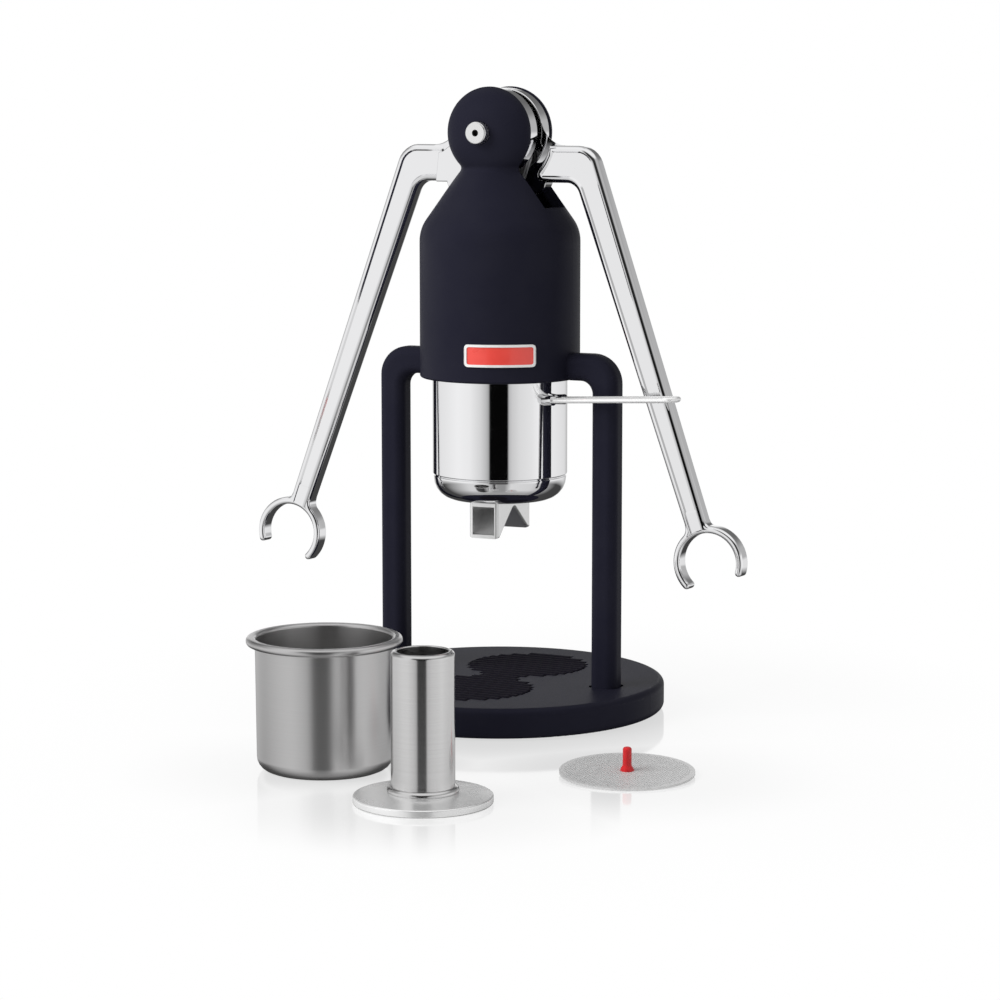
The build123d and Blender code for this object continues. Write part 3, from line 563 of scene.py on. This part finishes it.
def makeSpout(name):
    s = spoutSizes
    half, lip = s["half"], s["half"] - s["lip"]
    outline = [(-half, s["top"]), (half, s["top"]), (half, s["bottom"]), (lip, s["bottom"]),
               (0, s["notchTop"]), (-lip, s["bottom"]), (-half, s["bottom"])]
    wide = s["width"] / 2
    spout = cutPlate(name, outline, -wide, wide, [(0, s["notchTop"], s["notchRound"])])
    pickEdges(spout, lambda a, b: abs(a.y - b.y) < 0.01 and min(a.z, b.z) < s["top"] - 0.1)
    softenEdges(s["edgeRound"], 4)
    mouth = s["mouthWidth"] / 2
    channel = [(s["post"], s["mouthTop"]), (s["post"], s["mouthTop"] - s["postTall"]),
               (s["slopeStart"], s["mouthFloor"]), (half + 1, s["mouthFloor"]), (half + 1, s["mouthTop"])]
    for side in (0, 180):
        tool = cutPlate(name + "Channel", channel, -mouth, mouth)
        pickEdges(tool, lambda a, b: abs(a.y - b.y) > 1)
        softenEdges(s["mouthRound"], 3)
        moveMesh(tool, turn(side, "Z"))
        combine(spout, tool, "DIFFERENCE")
    moveMesh(spout, turn(90 + s["turn"], "Z"))
    return spout


finishPiece(makeCup("cup"), "portafilter", finishes["chrome"], ["portafilter_cup"])
finishPiece(makeSpout("spout"), "portafilter", finishes["spout_chrome"], ["double_spout"])
print("cup and spout made")


# Loose pieces on the floor

basketSizes = {
    "place": (-11.7, -151.7), "radius": 30.35, "taper": 0.45, "bore": 29.75, "height": 59.0,
    "cornerRound": 6.0, "rimRadius": 34.25, "rimTall": 3.4, "rimRound": 1.6, "rimLowRound": 1.4,
    "neckRound": 0.8, "sieveRadius": 23.5, "sieveThick": 0.6, "sieveLap": 0.05, "sieveBorder": 2.0,
    "holePitch": 1.9, "holeShare": 0.5,
}
tamperSizes = {
    "place": (56.0, -189.0), "footRadius": 29.6, "footEdge": 3.2, "footHeight": 4.6, "footCrown": 15.2,
    "footLowRound": 0.5, "footEdgeRound": 0.7, "stemLow": 4.4, "stemRadius": 13.5, "height": 64.5,
    "bore": 10.9, "boreFloor": 8.0, "boreRound": 1.0, "bead": 1.8, "beadAt": 5.3, "beadFrom": -40.0,
    "lipRound": 1.9, "lipInnerRound": 0.5,
}
screenSizes = {
    "place": (113.6, -107.4), "turn": 25.9, "lift": 1.25, "radius": 29.6, "thick": 1.0, "holeArea": 27.4,
    "holePitch": 1.25, "holeShare": 0.5, "hatchTurn": 20.0,
}
knobSizes = {
    "radius": 1.95, "height": 10.5, "topRound": 1.1, "flareRadius": 3.0, "flareEdge": 0.6, "flareRound": 0.4,
    "flareTall": 2.4, "neckRound": 0.5, "nub": 1.25,
}


def sieveDisc(name, radius, area, pitch, share, thick):
    side = 2 * math.ceil(radius / pitch + 1)
    leaveEdit()
    bpy.ops.object.select_all(action="DESELECT")
    bpy.ops.mesh.primitive_grid_add(x_subdivisions=side, y_subdivisions=side, size=side * pitch * mm)
    disc = bpy.context.active_object
    disc.name = disc.data.name = name
    pickFaces(disc, lambda c, n: math.hypot(c.x, c.y) < area)
    bpy.ops.mesh.inset(thickness=pitch * (1 - share) / 2 * mm, use_individual=True)
    bpy.ops.mesh.delete(type="FACE")
    applyModifier(disc, "SOLIDIFY", thickness=thick * mm, offset=1)
    bpy.ops.object.select_all(action="DESELECT")
    bpy.ops.mesh.primitive_cylinder_add(vertices=128, radius=radius * mm, depth=20 * mm)
    combine(disc, bpy.context.active_object, "INTERSECT")
    return disc


def makeBasket(name):
    s = basketSizes
    rimLow = s["height"] - s["rimTall"]
    foot, innerFoot = s["radius"] - s["taper"], s["bore"] - s["taper"]
    profile = [(s["sieveRadius"], 0), (foot, 0), (s["radius"], rimLow), (s["rimRadius"], rimLow),
               (s["rimRadius"], s["height"]), (s["bore"], s["height"]), (innerFoot, s["sieveThick"]),
               (s["sieveRadius"], s["sieveThick"])]
    corners = [(foot, 0, s["cornerRound"]), (s["rimRadius"], rimLow, s["rimLowRound"]),
               (s["rimRadius"], s["height"], s["rimRound"]), (s["bore"], s["height"], s["rimRound"]),
               (innerFoot, s["sieveThick"], s["cornerRound"] - s["sieveThick"]),
               (s["radius"], rimLow, s["neckRound"])]
    basket = turnedPiece(name, profile, corners, 128, closed=True)
    moveMesh(basket, shift(*s["place"], 0))
    return basket


def makeSieve(name):
    s = basketSizes
    outer, area = s["sieveRadius"] + s["sieveLap"], s["sieveRadius"] - s["sieveBorder"]
    sieve = sieveDisc(name, outer, area, s["holePitch"], s["holeShare"], s["sieveThick"])
    moveMesh(sieve, shift(*s["place"], 0))
    return sieve


def makeTamperFoot(name):
    s = tamperSizes
    profile = [(0, 0), (s["footRadius"], 0), (s["footRadius"], s["footEdge"]),
               (s["footCrown"], s["footHeight"]), (0, s["footHeight"])]
    corners = [(s["footRadius"], 0, s["footLowRound"]), (s["footRadius"], s["footEdge"], s["footEdgeRound"])]
    foot = turnedPiece(name, profile, corners, 128)
    moveMesh(foot, shift(*s["place"], 0))
    return foot


def makeTamperStem(name):
    s = tamperSizes
    profile = [(0, s["stemLow"])]
    profile += arcPoints((s["stemRadius"], s["beadAt"]), s["bead"], s["beadFrom"], 90, 10)
    profile += [(s["stemRadius"], s["height"]), (s["bore"], s["height"]), (s["bore"], s["boreFloor"]),
                (0, s["boreFloor"])]
    corners = [(s["stemRadius"], s["height"], s["lipRound"]), (s["bore"], s["height"], s["lipInnerRound"]),
               (s["bore"], s["boreFloor"], s["boreRound"])]
    stem = turnedPiece(name, profile, corners)
    moveMesh(stem, shift(*s["place"], 0))
    return stem


def screenPlace():
    s = screenSizes
    lean = math.degrees(math.asin(s["lift"] / s["radius"]))
    return shift(*s["place"], 0) @ turn(s["turn"], "Z") @ shift(0, 0, s["lift"]) @ turn(lean, "X")


def makeScreen(name):
    s = screenSizes
    disc = sieveDisc(name, s["radius"], s["holeArea"], s["holePitch"], s["holeShare"], s["thick"])
    moveMesh(disc, screenPlace() @ turn(s["hatchTurn"], "Z"))
    return disc


def makeKnob(name):
    s, thick = knobSizes, screenSizes["thick"]
    edge, neck, top = thick + s["flareEdge"], thick + s["flareTall"], thick + s["height"]
    profile = [(0, -s["nub"]), (s["radius"], -s["nub"]), (s["radius"], thick), (s["flareRadius"], thick),
               (s["flareRadius"], edge), (s["radius"], neck), (s["radius"], top), (0, top)]
    corners = [(s["flareRadius"], edge, s["flareRound"]), (s["radius"], neck, s["neckRound"]),
               (s["radius"], top, s["topRound"])]
    knob = turnedPiece(name, profile, corners, 48)
    moveMesh(knob, screenPlace())
    return knob


finishPiece(makeBasket("basket"), "basket", finishes["basket_steel"], ["filter_basket"])
finishPiece(makeSieve("basketSieve"), "basket", finishes["basket_steel"])
finishPiece(makeTamperFoot("tamperFoot"), "tamper", finishes["turned_steel"], ["tamper_foot"])
finishPiece(makeTamperStem("tamperStem"), "tamper", finishes["brushed_steel"], ["tamper_stem"])
finishPiece(makeScreen("screen"), "screen", finishes["sieve_steel"], ["dispersion_screen"])
finishPiece(makeKnob("screenKnob"), "screen", finishes["red_silicone"], ["screen_knob"])
print("loose pieces made")


# Badge, eye pin and drip mat

badgeSizes = {
    "turn": 25.9, "width": 33.4, "height": 10.5, "low": 167.6, "cornerRound": 1.8, "cornerShare": 0.6,
    "border": 1.2, "plateInset": 0.9, "bodyRadius": 38.0, "plateThick": 0.7, "frameThick": 1.1, "sink": 0.4,
    "span": 70.0, "cutNear": -60.0, "cutFar": -10.0, "edgeRound": 0.2,
}
eyeSizes = {
    "headRadius": 5.2, "headFront": 26.5, "headBack": 21.5, "headRound": 0.7, "backRound": 0.4,
    "shankRadius": 3.2, "shankEnd": -21.4, "socketRadius": 1.6, "socketDeep": 3.0, "shadeLiningWall": 0.25,
    "shadeLiningSink": 0.3,
}
matSizes = {
    "pitch": 4.8, "rows": 12, "centres": 31.0, "endRadius": 29.0, "shortest": 20.0,
    "webLow": 12.9, "webTop": 13.9, "ribWidth": 3.0, "ribShort": 0.4, "ribCorner": 1.2, "ribRound": 0.7,
    "ribLow": 13.6, "ribTop": 15.3,
}


def roundedBlock(name, width, height, corner, near, far):  # upright rounded rectangle, pushed through along y
    w, h = width / 2, height / 2
    spots = [(-w, -h), (w, -h), (w, h), (-w, h)]
    return cutPlate(name, spots, near, far, [(*spot, corner) for spot in spots])


def curvedSheet(name, inner, outer, half, span):  # part of a ring round z, facing -y
    sheet = drawLine(name, [(inner, -half), (outer, -half), (outer, half), (inner, half), (inner, -half)])
    closeWire(sheet)
    editThis(sheet)
    bpy.ops.mesh.select_all(action="SELECT")
    bpy.ops.mesh.edge_face_add()
    moveMesh(sheet, turn(-90 - span / 2, "Z"))
    editThis(sheet)
    bpy.ops.mesh.select_all(action="SELECT")
    bpy.ops.mesh.spin(steps=48, angle=-math.radians(span), center=(0, 0, 0), axis=(0, 0, 1))
    closeMesh(sheet)
    return sheet


def badgeBlock(name, inset):  # the badge's outline, smaller by the inset all round
    s = badgeSizes
    width, height = s["width"] - 2 * inset, s["height"] - 2 * inset
    corner = s["cornerRound"] - inset * s["cornerShare"]
    return roundedBlock(name, width, height, corner, s["cutNear"], s["cutFar"])


def makeBadge(name, thick, inset, hole):
    s = badgeSizes
    badge = curvedSheet(name, s["bodyRadius"] - s["sink"], s["bodyRadius"] + thick, s["height"], s["span"])
    combine(badge, badgeBlock(name + "Block", inset), "INTERSECT")
    if hole:
        combine(badge, badgeBlock(name + "Hole", s["border"]), "DIFFERENCE")
    softenSharp(badge, s["edgeRound"], 2, 50)
    moveMesh(badge, turn(s["turn"], "Z") @ shift(0, 0, s["low"] + s["height"] / 2))
    return badge


def makeEye(name):
    s = eyeSizes
    front, back = s["headFront"], s["headBack"]
    profile = [(0, s["shankEnd"]), (s["shankRadius"], s["shankEnd"]), (s["shankRadius"], back),
               (s["headRadius"], back), (s["headRadius"], front), (0, front)]
    corners = [(s["headRadius"], front, s["headRound"]), (s["headRadius"], back, s["backRound"])]
    eye = turnedPiece(name, profile, corners)
    bpy.ops.object.select_all(action="DESELECT")
    bpy.ops.mesh.primitive_cylinder_add(vertices=32, radius=s["socketRadius"] * mm,
                                        depth=2 * s["socketDeep"] * mm, location=(0, 0, front * mm))
    combine(eye, bpy.context.active_object, "DIFFERENCE")
    moveMesh(eye, shift(0, 0, armSizes["pivotHeight"]) @ turn(90, "X"))
    return eye


def makeEyeShadeLining(name):  # dark cup inside the eye's hole, painted shade standing in for the shadow in the hole
    s = eyeSizes
    low, high = s["headFront"] - s["socketDeep"], s["headFront"] - s["shadeLiningSink"]
    inner = s["socketRadius"] - s["shadeLiningWall"]
    profile = [(0, low), (s["socketRadius"], low), (s["socketRadius"], high), (inner, high),
               (inner, low + s["shadeLiningWall"]), (0, low + s["shadeLiningWall"])]
    shadeLining = turnedPiece(name, profile, (), 48)
    moveMesh(shadeLining, shift(0, 0, armSizes["pivotHeight"]) @ turn(90, "X"))
    return shadeLining


def rowLength(y):
    s = matSizes
    past = abs(y) - s["centres"]
    return max(2 * math.sqrt(max(s["endRadius"] ** 2 - past ** 2, 0)), s["shortest"])


def makeMat(name):
    s = matSizes
    far, near = s["centres"], s["shortest"] / 2
    waist = math.degrees(math.acos(near / s["endRadius"]))
    outline = arcPoints((0, far), s["endRadius"], -waist, 180 + waist, 48)
    outline += arcPoints((0, -far), s["endRadius"], 180 - waist, 360 + waist, 48)
    mat = cutPlate(name, outline, -s["webTop"], -s["webLow"])
    moveMesh(mat, turn(-90, "X"))  # laid flat, its length along y
    ribs = []
    for row in range(-s["rows"], s["rows"] + 1):
        y = row * s["pitch"]
        half, wide = rowLength(y) / 2 - s["ribShort"], s["ribWidth"] / 2
        spots = [(-half, -wide), (half, -wide), (half, wide), (-half, wide)]
        corners = [(*spot, s["ribCorner"]) for spot in spots]
        rib = cutPlate(name + "Rib", spots, -s["ribTop"], -s["ribLow"], corners)
        moveMesh(rib, shift(0, y, 0) @ turn(-90, "X"))
        pickEdges(rib, lambda a, b: min(a.z, b.z) > s["ribTop"] - 0.01)
        softenEdges(s["ribRound"], 3)
        ribs.append(rib)
    return joinPieces(mat, ribs)


badgePlate = makeBadge("badgePlate", badgeSizes["plateThick"], badgeSizes["plateInset"], False)
badgeFrame = makeBadge("badgeFrame", badgeSizes["frameThick"], 0, True)
finishPiece(badgePlate, "frame", finishes["red_enamel"], ["badge_plate"])
finishPiece(badgeFrame, "frame", finishes["badge_metal"], ["badge_frame"])
finishPiece(makeEye("eyePin"), "frame", finishes["pin_metal"], ["main_pin"])
# the eye's dark lining is painted shade in its hole, not a separate dark part
finishPiece(makeEyeShadeLining("eyeShadeLining"), "frame", finishes["black_rubber"])
finishPiece(makeMat("dripMat"), "frame", finishes["mat_rubber"], ["drip_mat"])
print("badge, eye and mat made")


# Finishes on the nodes that stay as they are

keptNodes = {
    "dark_coat": ["base_plate", "left_leg", "right_leg", "body_shell"],
    "black_rubber": ["foot_pad", "piston_seal"],
    "pin_metal": ["pin_cap"],
    "wire_chrome": ["wire_handle"],
    "chrome": ["handle_ferrules"],
    "brushed_steel": ["group_collar", "piston_rod", "bayonet_lugs", "spout_screw"],
    "cast_aluminium": ["rod_guide", "piston_head"],
}
finishNames = {name: look for look, names in keptNodes.items() for name in names}
for name, node in nodes.items():
    look = finishNames.get(name, "bronze" if "bush" in name else "zinc_steel")
    node.data.materials.clear()
    node.data.materials.append(finishes[look])
print("kept nodes finished")


# Floor, light and camera

stageSizes = {
    "floorSide": 12.0, "floorColour": 0.93, "floorRough": 0.07, "glossNear": 0.25, "glossFade": 0.075,
    "whiteNear": 0.88, "whiteFade": 0.2,
    "keyPower": 88.0, "keySide": 2.0, "keyPlace": (-1.6, -2.0, 1.7), "keyAim": (0, 0, 0.1),
    "feet": [(0, 0, 78), (-11.7, -151.7, 28), (56, -189, 29), (113.6, -107.4, 29)],  # x, y, radius
}
skySizes = {  # what shiny pieces mirror: grey levels by angle, 0 at the camera and growing to its right
    "diffuse": 0.5, "deepTo": -0.8, "frontFrom": -0.62, "floorTo": -0.33, "lowFrom": -0.2, "riseFrom": -0.05,
    "riseTo": 0.01, "lowTo": 0.2, "highFrom": 0.32, "highTo": 0.6, "roofFrom": 0.75,
    "floorLevels": [(-180, 0.05), (-120, 0.06), (-100, 0.2), (-60, 0.4), (-20, 0.35), (15, 0.35), (60, 0.4),
                    (100, 0.2), (120, 0.06), (180, 0.05)],
    "frontLevels": [(-180, 0.05), (-120, 0.06), (-100, 0.3), (-60, 0.7), (-25, 0.75), (-13, 0.3), (9, 0.3),
                    (20, 0.75), (60, 0.7), (100, 0.3), (120, 0.06), (180, 0.05)],
    "lowLevels": [(-180, 0.45), (-165, 0.5), (-150, 0.75), (-125, 0.84), (-100, 0.9), (-77, 0.97),
                  (-53, 0.92), (-34, 0.74), (-24, 0.56), (-19, 0.4), (-17.5, 0.002), (13, 0.002),
                  (15, 0.52), (20, 0.65), (34, 0.78), (56, 0.86), (72, 0.97), (100, 0.9), (125, 0.84),
                  (145, 0.78), (160, 0.55), (180, 0.45)],
    "riseLevels": [(-180, 1.0), (-167, 1.0), (-158, 0.4), (-125, 0.5), (-100, 0.9), (-53, 0.92), (-34, 0.74),
                   (-24, 0.56), (-17.5, 0.002), (13, 0.002), (20, 0.65), (34, 0.78), (72, 0.97), (100, 0.9),
                   (125, 0.5), (158, 0.4), (167, 1.0), (180, 1.0)],
    "highLevels": [(-180, 0.15), (-150, 0.15), (-120, 0.4), (-100, 0.5), (-75, 0.9), (-45, 0.9), (-38, 0.3),
                   (-34, 0.03), (24, 0.03), (30, 0.3), (45, 0.5), (80, 0.5), (110, 0.4), (130, 0.3),
                   (150, 0.15), (180, 0.15)],
    "roofLevels": [(-180, 0.5), (-130, 0.8), (-100, 0.95), (100, 0.95), (130, 0.8), (180, 0.5)],
}
cameraSizes = {
    "place": (0.6321, -1.3012, 0.3035), "tilt": 82.01, "pan": 25.91, "lens": 110.08, "sensor": 36.0,
}


def makeFloor():
    s = stageSizes
    leaveEdit()
    bpy.ops.object.select_all(action="DESELECT")
    bpy.ops.mesh.primitive_plane_add(size=s["floorSide"], location=(0, 0, 0))
    floor = bpy.context.active_object
    floor.name = "floor"
    finish = bpy.data.materials.new("paleFloor")
    finish.use_nodes = True
    tree = finish.node_tree
    tree.nodes.clear()
    add = tree.nodes.new
    matt, gloss, glow = add("ShaderNodeBsdfDiffuse"), add("ShaderNodeBsdfGlossy"), add("ShaderNodeEmission")
    matt.inputs["Color"].default_value = (*grey(s["floorColour"]), 1)
    gloss.inputs["Color"].default_value = (1, 1, 1, 1)
    gloss.inputs["Roughness"].default_value = s["floorRough"]
    nearest = None  # distance to the nearest thing on the floor
    coords = add("ShaderNodeTexCoord")
    for x, y, radius in s["feet"]:
        reach, past = add("ShaderNodeVectorMath"), add("ShaderNodeMath")
        reach.operation, past.operation = "DISTANCE", "SUBTRACT"
        reach.inputs[1].default_value = (x * mm, y * mm, 0)
        past.inputs[1].default_value = radius * mm
        tree.links.new(coords.outputs["Object"], reach.inputs[0])
        tree.links.new(reach.outputs["Value"], past.inputs[0])
        if nearest:
            least = add("ShaderNodeMath")
            least.operation = "MINIMUM"
            tree.links.new(nearest, least.inputs[0])
            tree.links.new(past.outputs[0], least.inputs[1])
        nearest = least.outputs[0] if nearest else past.outputs[0]

    def fade(distance, near, far):
        ramp = add("ShaderNodeMapRange")
        ramp.interpolation_type = "SMOOTHSTEP"
        ramp.inputs["From Max"].default_value = distance
        ramp.inputs["To Min"].default_value = near
        ramp.inputs["To Max"].default_value = far
        tree.links.new(nearest, ramp.inputs["Value"])
        return ramp.outputs["Result"]

    path, seen = add("ShaderNodeLightPath"), add("ShaderNodeMath")
    seen.operation = "MULTIPLY"
    tree.links.new(path.outputs["Is Camera Ray"], seen.inputs[0])
    tree.links.new(fade(s["whiteFade"], s["whiteNear"], 1), seen.inputs[1])
    lit, shiny, out = add("ShaderNodeMixShader"), add("ShaderNodeMixShader"), add("ShaderNodeOutputMaterial")
    tree.links.new(seen.outputs[0], lit.inputs["Fac"])
    tree.links.new(matt.outputs[0], lit.inputs[1])
    tree.links.new(glow.outputs[0], lit.inputs[2])
    tree.links.new(fade(s["glossFade"], s["glossNear"], 0), shiny.inputs["Fac"])
    tree.links.new(lit.outputs[0], shiny.inputs[1])
    tree.links.new(gloss.outputs[0], shiny.inputs[2])
    tree.links.new(shiny.outputs[0], out.inputs["Surface"])
    floor.data.materials.append(finish)
    floor.visible_glossy = False  # shiny pieces mirror the sky's bands instead


def levelRamp(tree, share, levels):
    ramp = tree.nodes.new("ShaderNodeValToRGB")
    stops = ramp.color_ramp.elements
    stops.remove(stops[0])
    for i, (at, level) in enumerate(levels):
        stop = stops[0] if i == 0 else stops.new((at + 180) / 360)
        stop.position = (at + 180) / 360
        stop.color = (*grey(level), 1)
    tree.links.new(share, ramp.inputs["Fac"])
    return ramp.outputs["Color"]


def blend(tree, share, first, second):  # first where the share is 0, second where it is 1
    mix = tree.nodes.new("ShaderNodeMixRGB")
    tree.links.new(share, mix.inputs["Fac"])
    for value, socket in ((first, mix.inputs["Color1"]), (second, mix.inputs["Color2"])):
        if isinstance(value, float):
            socket.default_value = (*grey(value), 1)
        else:
            tree.links.new(value, socket)
    return mix.outputs["Color"]


def makeSky():  # white to the camera, plain grey light on matt surfaces, bands for reflections
    s = skySizes
    world = bpy.data.worlds.new("sky")
    bpy.context.scene.world = world
    world.use_nodes = True
    world.cycles.sampling_method = "NONE"
    tree = world.node_tree
    add = tree.nodes.new
    coords, pan, split, flip, angle, share = (add("ShaderNode" + kind) for kind in (
        "TexCoord", "VectorRotate", "SeparateXYZ", "Math", "Math", "Math"))
    pan.rotation_type = "Z_AXIS"
    pan.inputs["Angle"].default_value = -math.radians(cameraSizes["pan"])
    flip.operation, angle.operation, share.operation = "MULTIPLY", "ARCTAN2", "MULTIPLY_ADD"
    flip.inputs[1].default_value = -1
    share.inputs[1].default_value = 0.5 / math.pi
    share.inputs[2].default_value = 0.5
    tree.links.new(coords.outputs["Generated"], pan.inputs["Vector"])
    tree.links.new(pan.outputs["Vector"], split.inputs[0])
    tree.links.new(split.outputs["Y"], flip.inputs[0])
    tree.links.new(split.outputs["X"], angle.inputs[0])
    tree.links.new(flip.outputs[0], angle.inputs[1])
    tree.links.new(angle.outputs[0], share.inputs[0])
    level = levelRamp(tree, share.outputs[0], s["floorLevels"])
    for low, high, levels in (("deepTo", "frontFrom", "frontLevels"), ("floorTo", "lowFrom", "lowLevels"),
                              ("riseFrom", "riseTo", "riseLevels"), ("lowTo", "highFrom", "highLevels"),
                              ("highTo", "roofFrom", "roofLevels")):
        rise = add("ShaderNodeMapRange")
        rise.inputs["From Min"].default_value = s[low]
        rise.inputs["From Max"].default_value = s[high]
        tree.links.new(split.outputs["Z"], rise.inputs["Value"])
        level = blend(tree, rise.outputs["Result"], level, levelRamp(tree, share.outputs[0], s[levels]))
    path, seen = add("ShaderNodeLightPath"), add("ShaderNodeMath")
    seen.operation = "MAXIMUM"
    tree.links.new(path.outputs["Is Camera Ray"], seen.inputs[0])
    tree.links.new(path.outputs["Is Transmission Ray"], seen.inputs[1])
    plain = blend(tree, seen.outputs[0], s["diffuse"], 1.0)
    mirrored = blend(tree, path.outputs["Is Glossy Ray"], plain, level)
    tree.links.new(mirrored, tree.nodes["Background"].inputs["Color"])


def makeKey():
    s = stageSizes
    bpy.ops.object.select_all(action="DESELECT")
    bpy.ops.object.light_add(type="AREA", location=s["keyPlace"])
    key = bpy.context.active_object
    key.name = "softKey"
    key.data.size = s["keySide"]
    key.data.energy = s["keyPower"]
    key.rotation_euler = (Vector(s["keyAim"]) - key.location).to_track_quat("-Z", "Y").to_euler()
    key.visible_glossy = False


def makeCamera():
    s = cameraSizes
    bpy.ops.object.select_all(action="DESELECT")
    aim = (math.radians(s["tilt"]), 0, math.radians(s["pan"]))
    bpy.ops.object.camera_add(location=s["place"], rotation=aim)
    camera = bpy.context.active_object
    camera.data.lens = s["lens"]
    camera.data.sensor_width = s["sensor"]
    bpy.context.scene.camera = camera


makeFloor()
makeSky()
makeKey()
makeCamera()
bpy.context.scene.view_settings.view_transform = "Standard"
print("stage made")
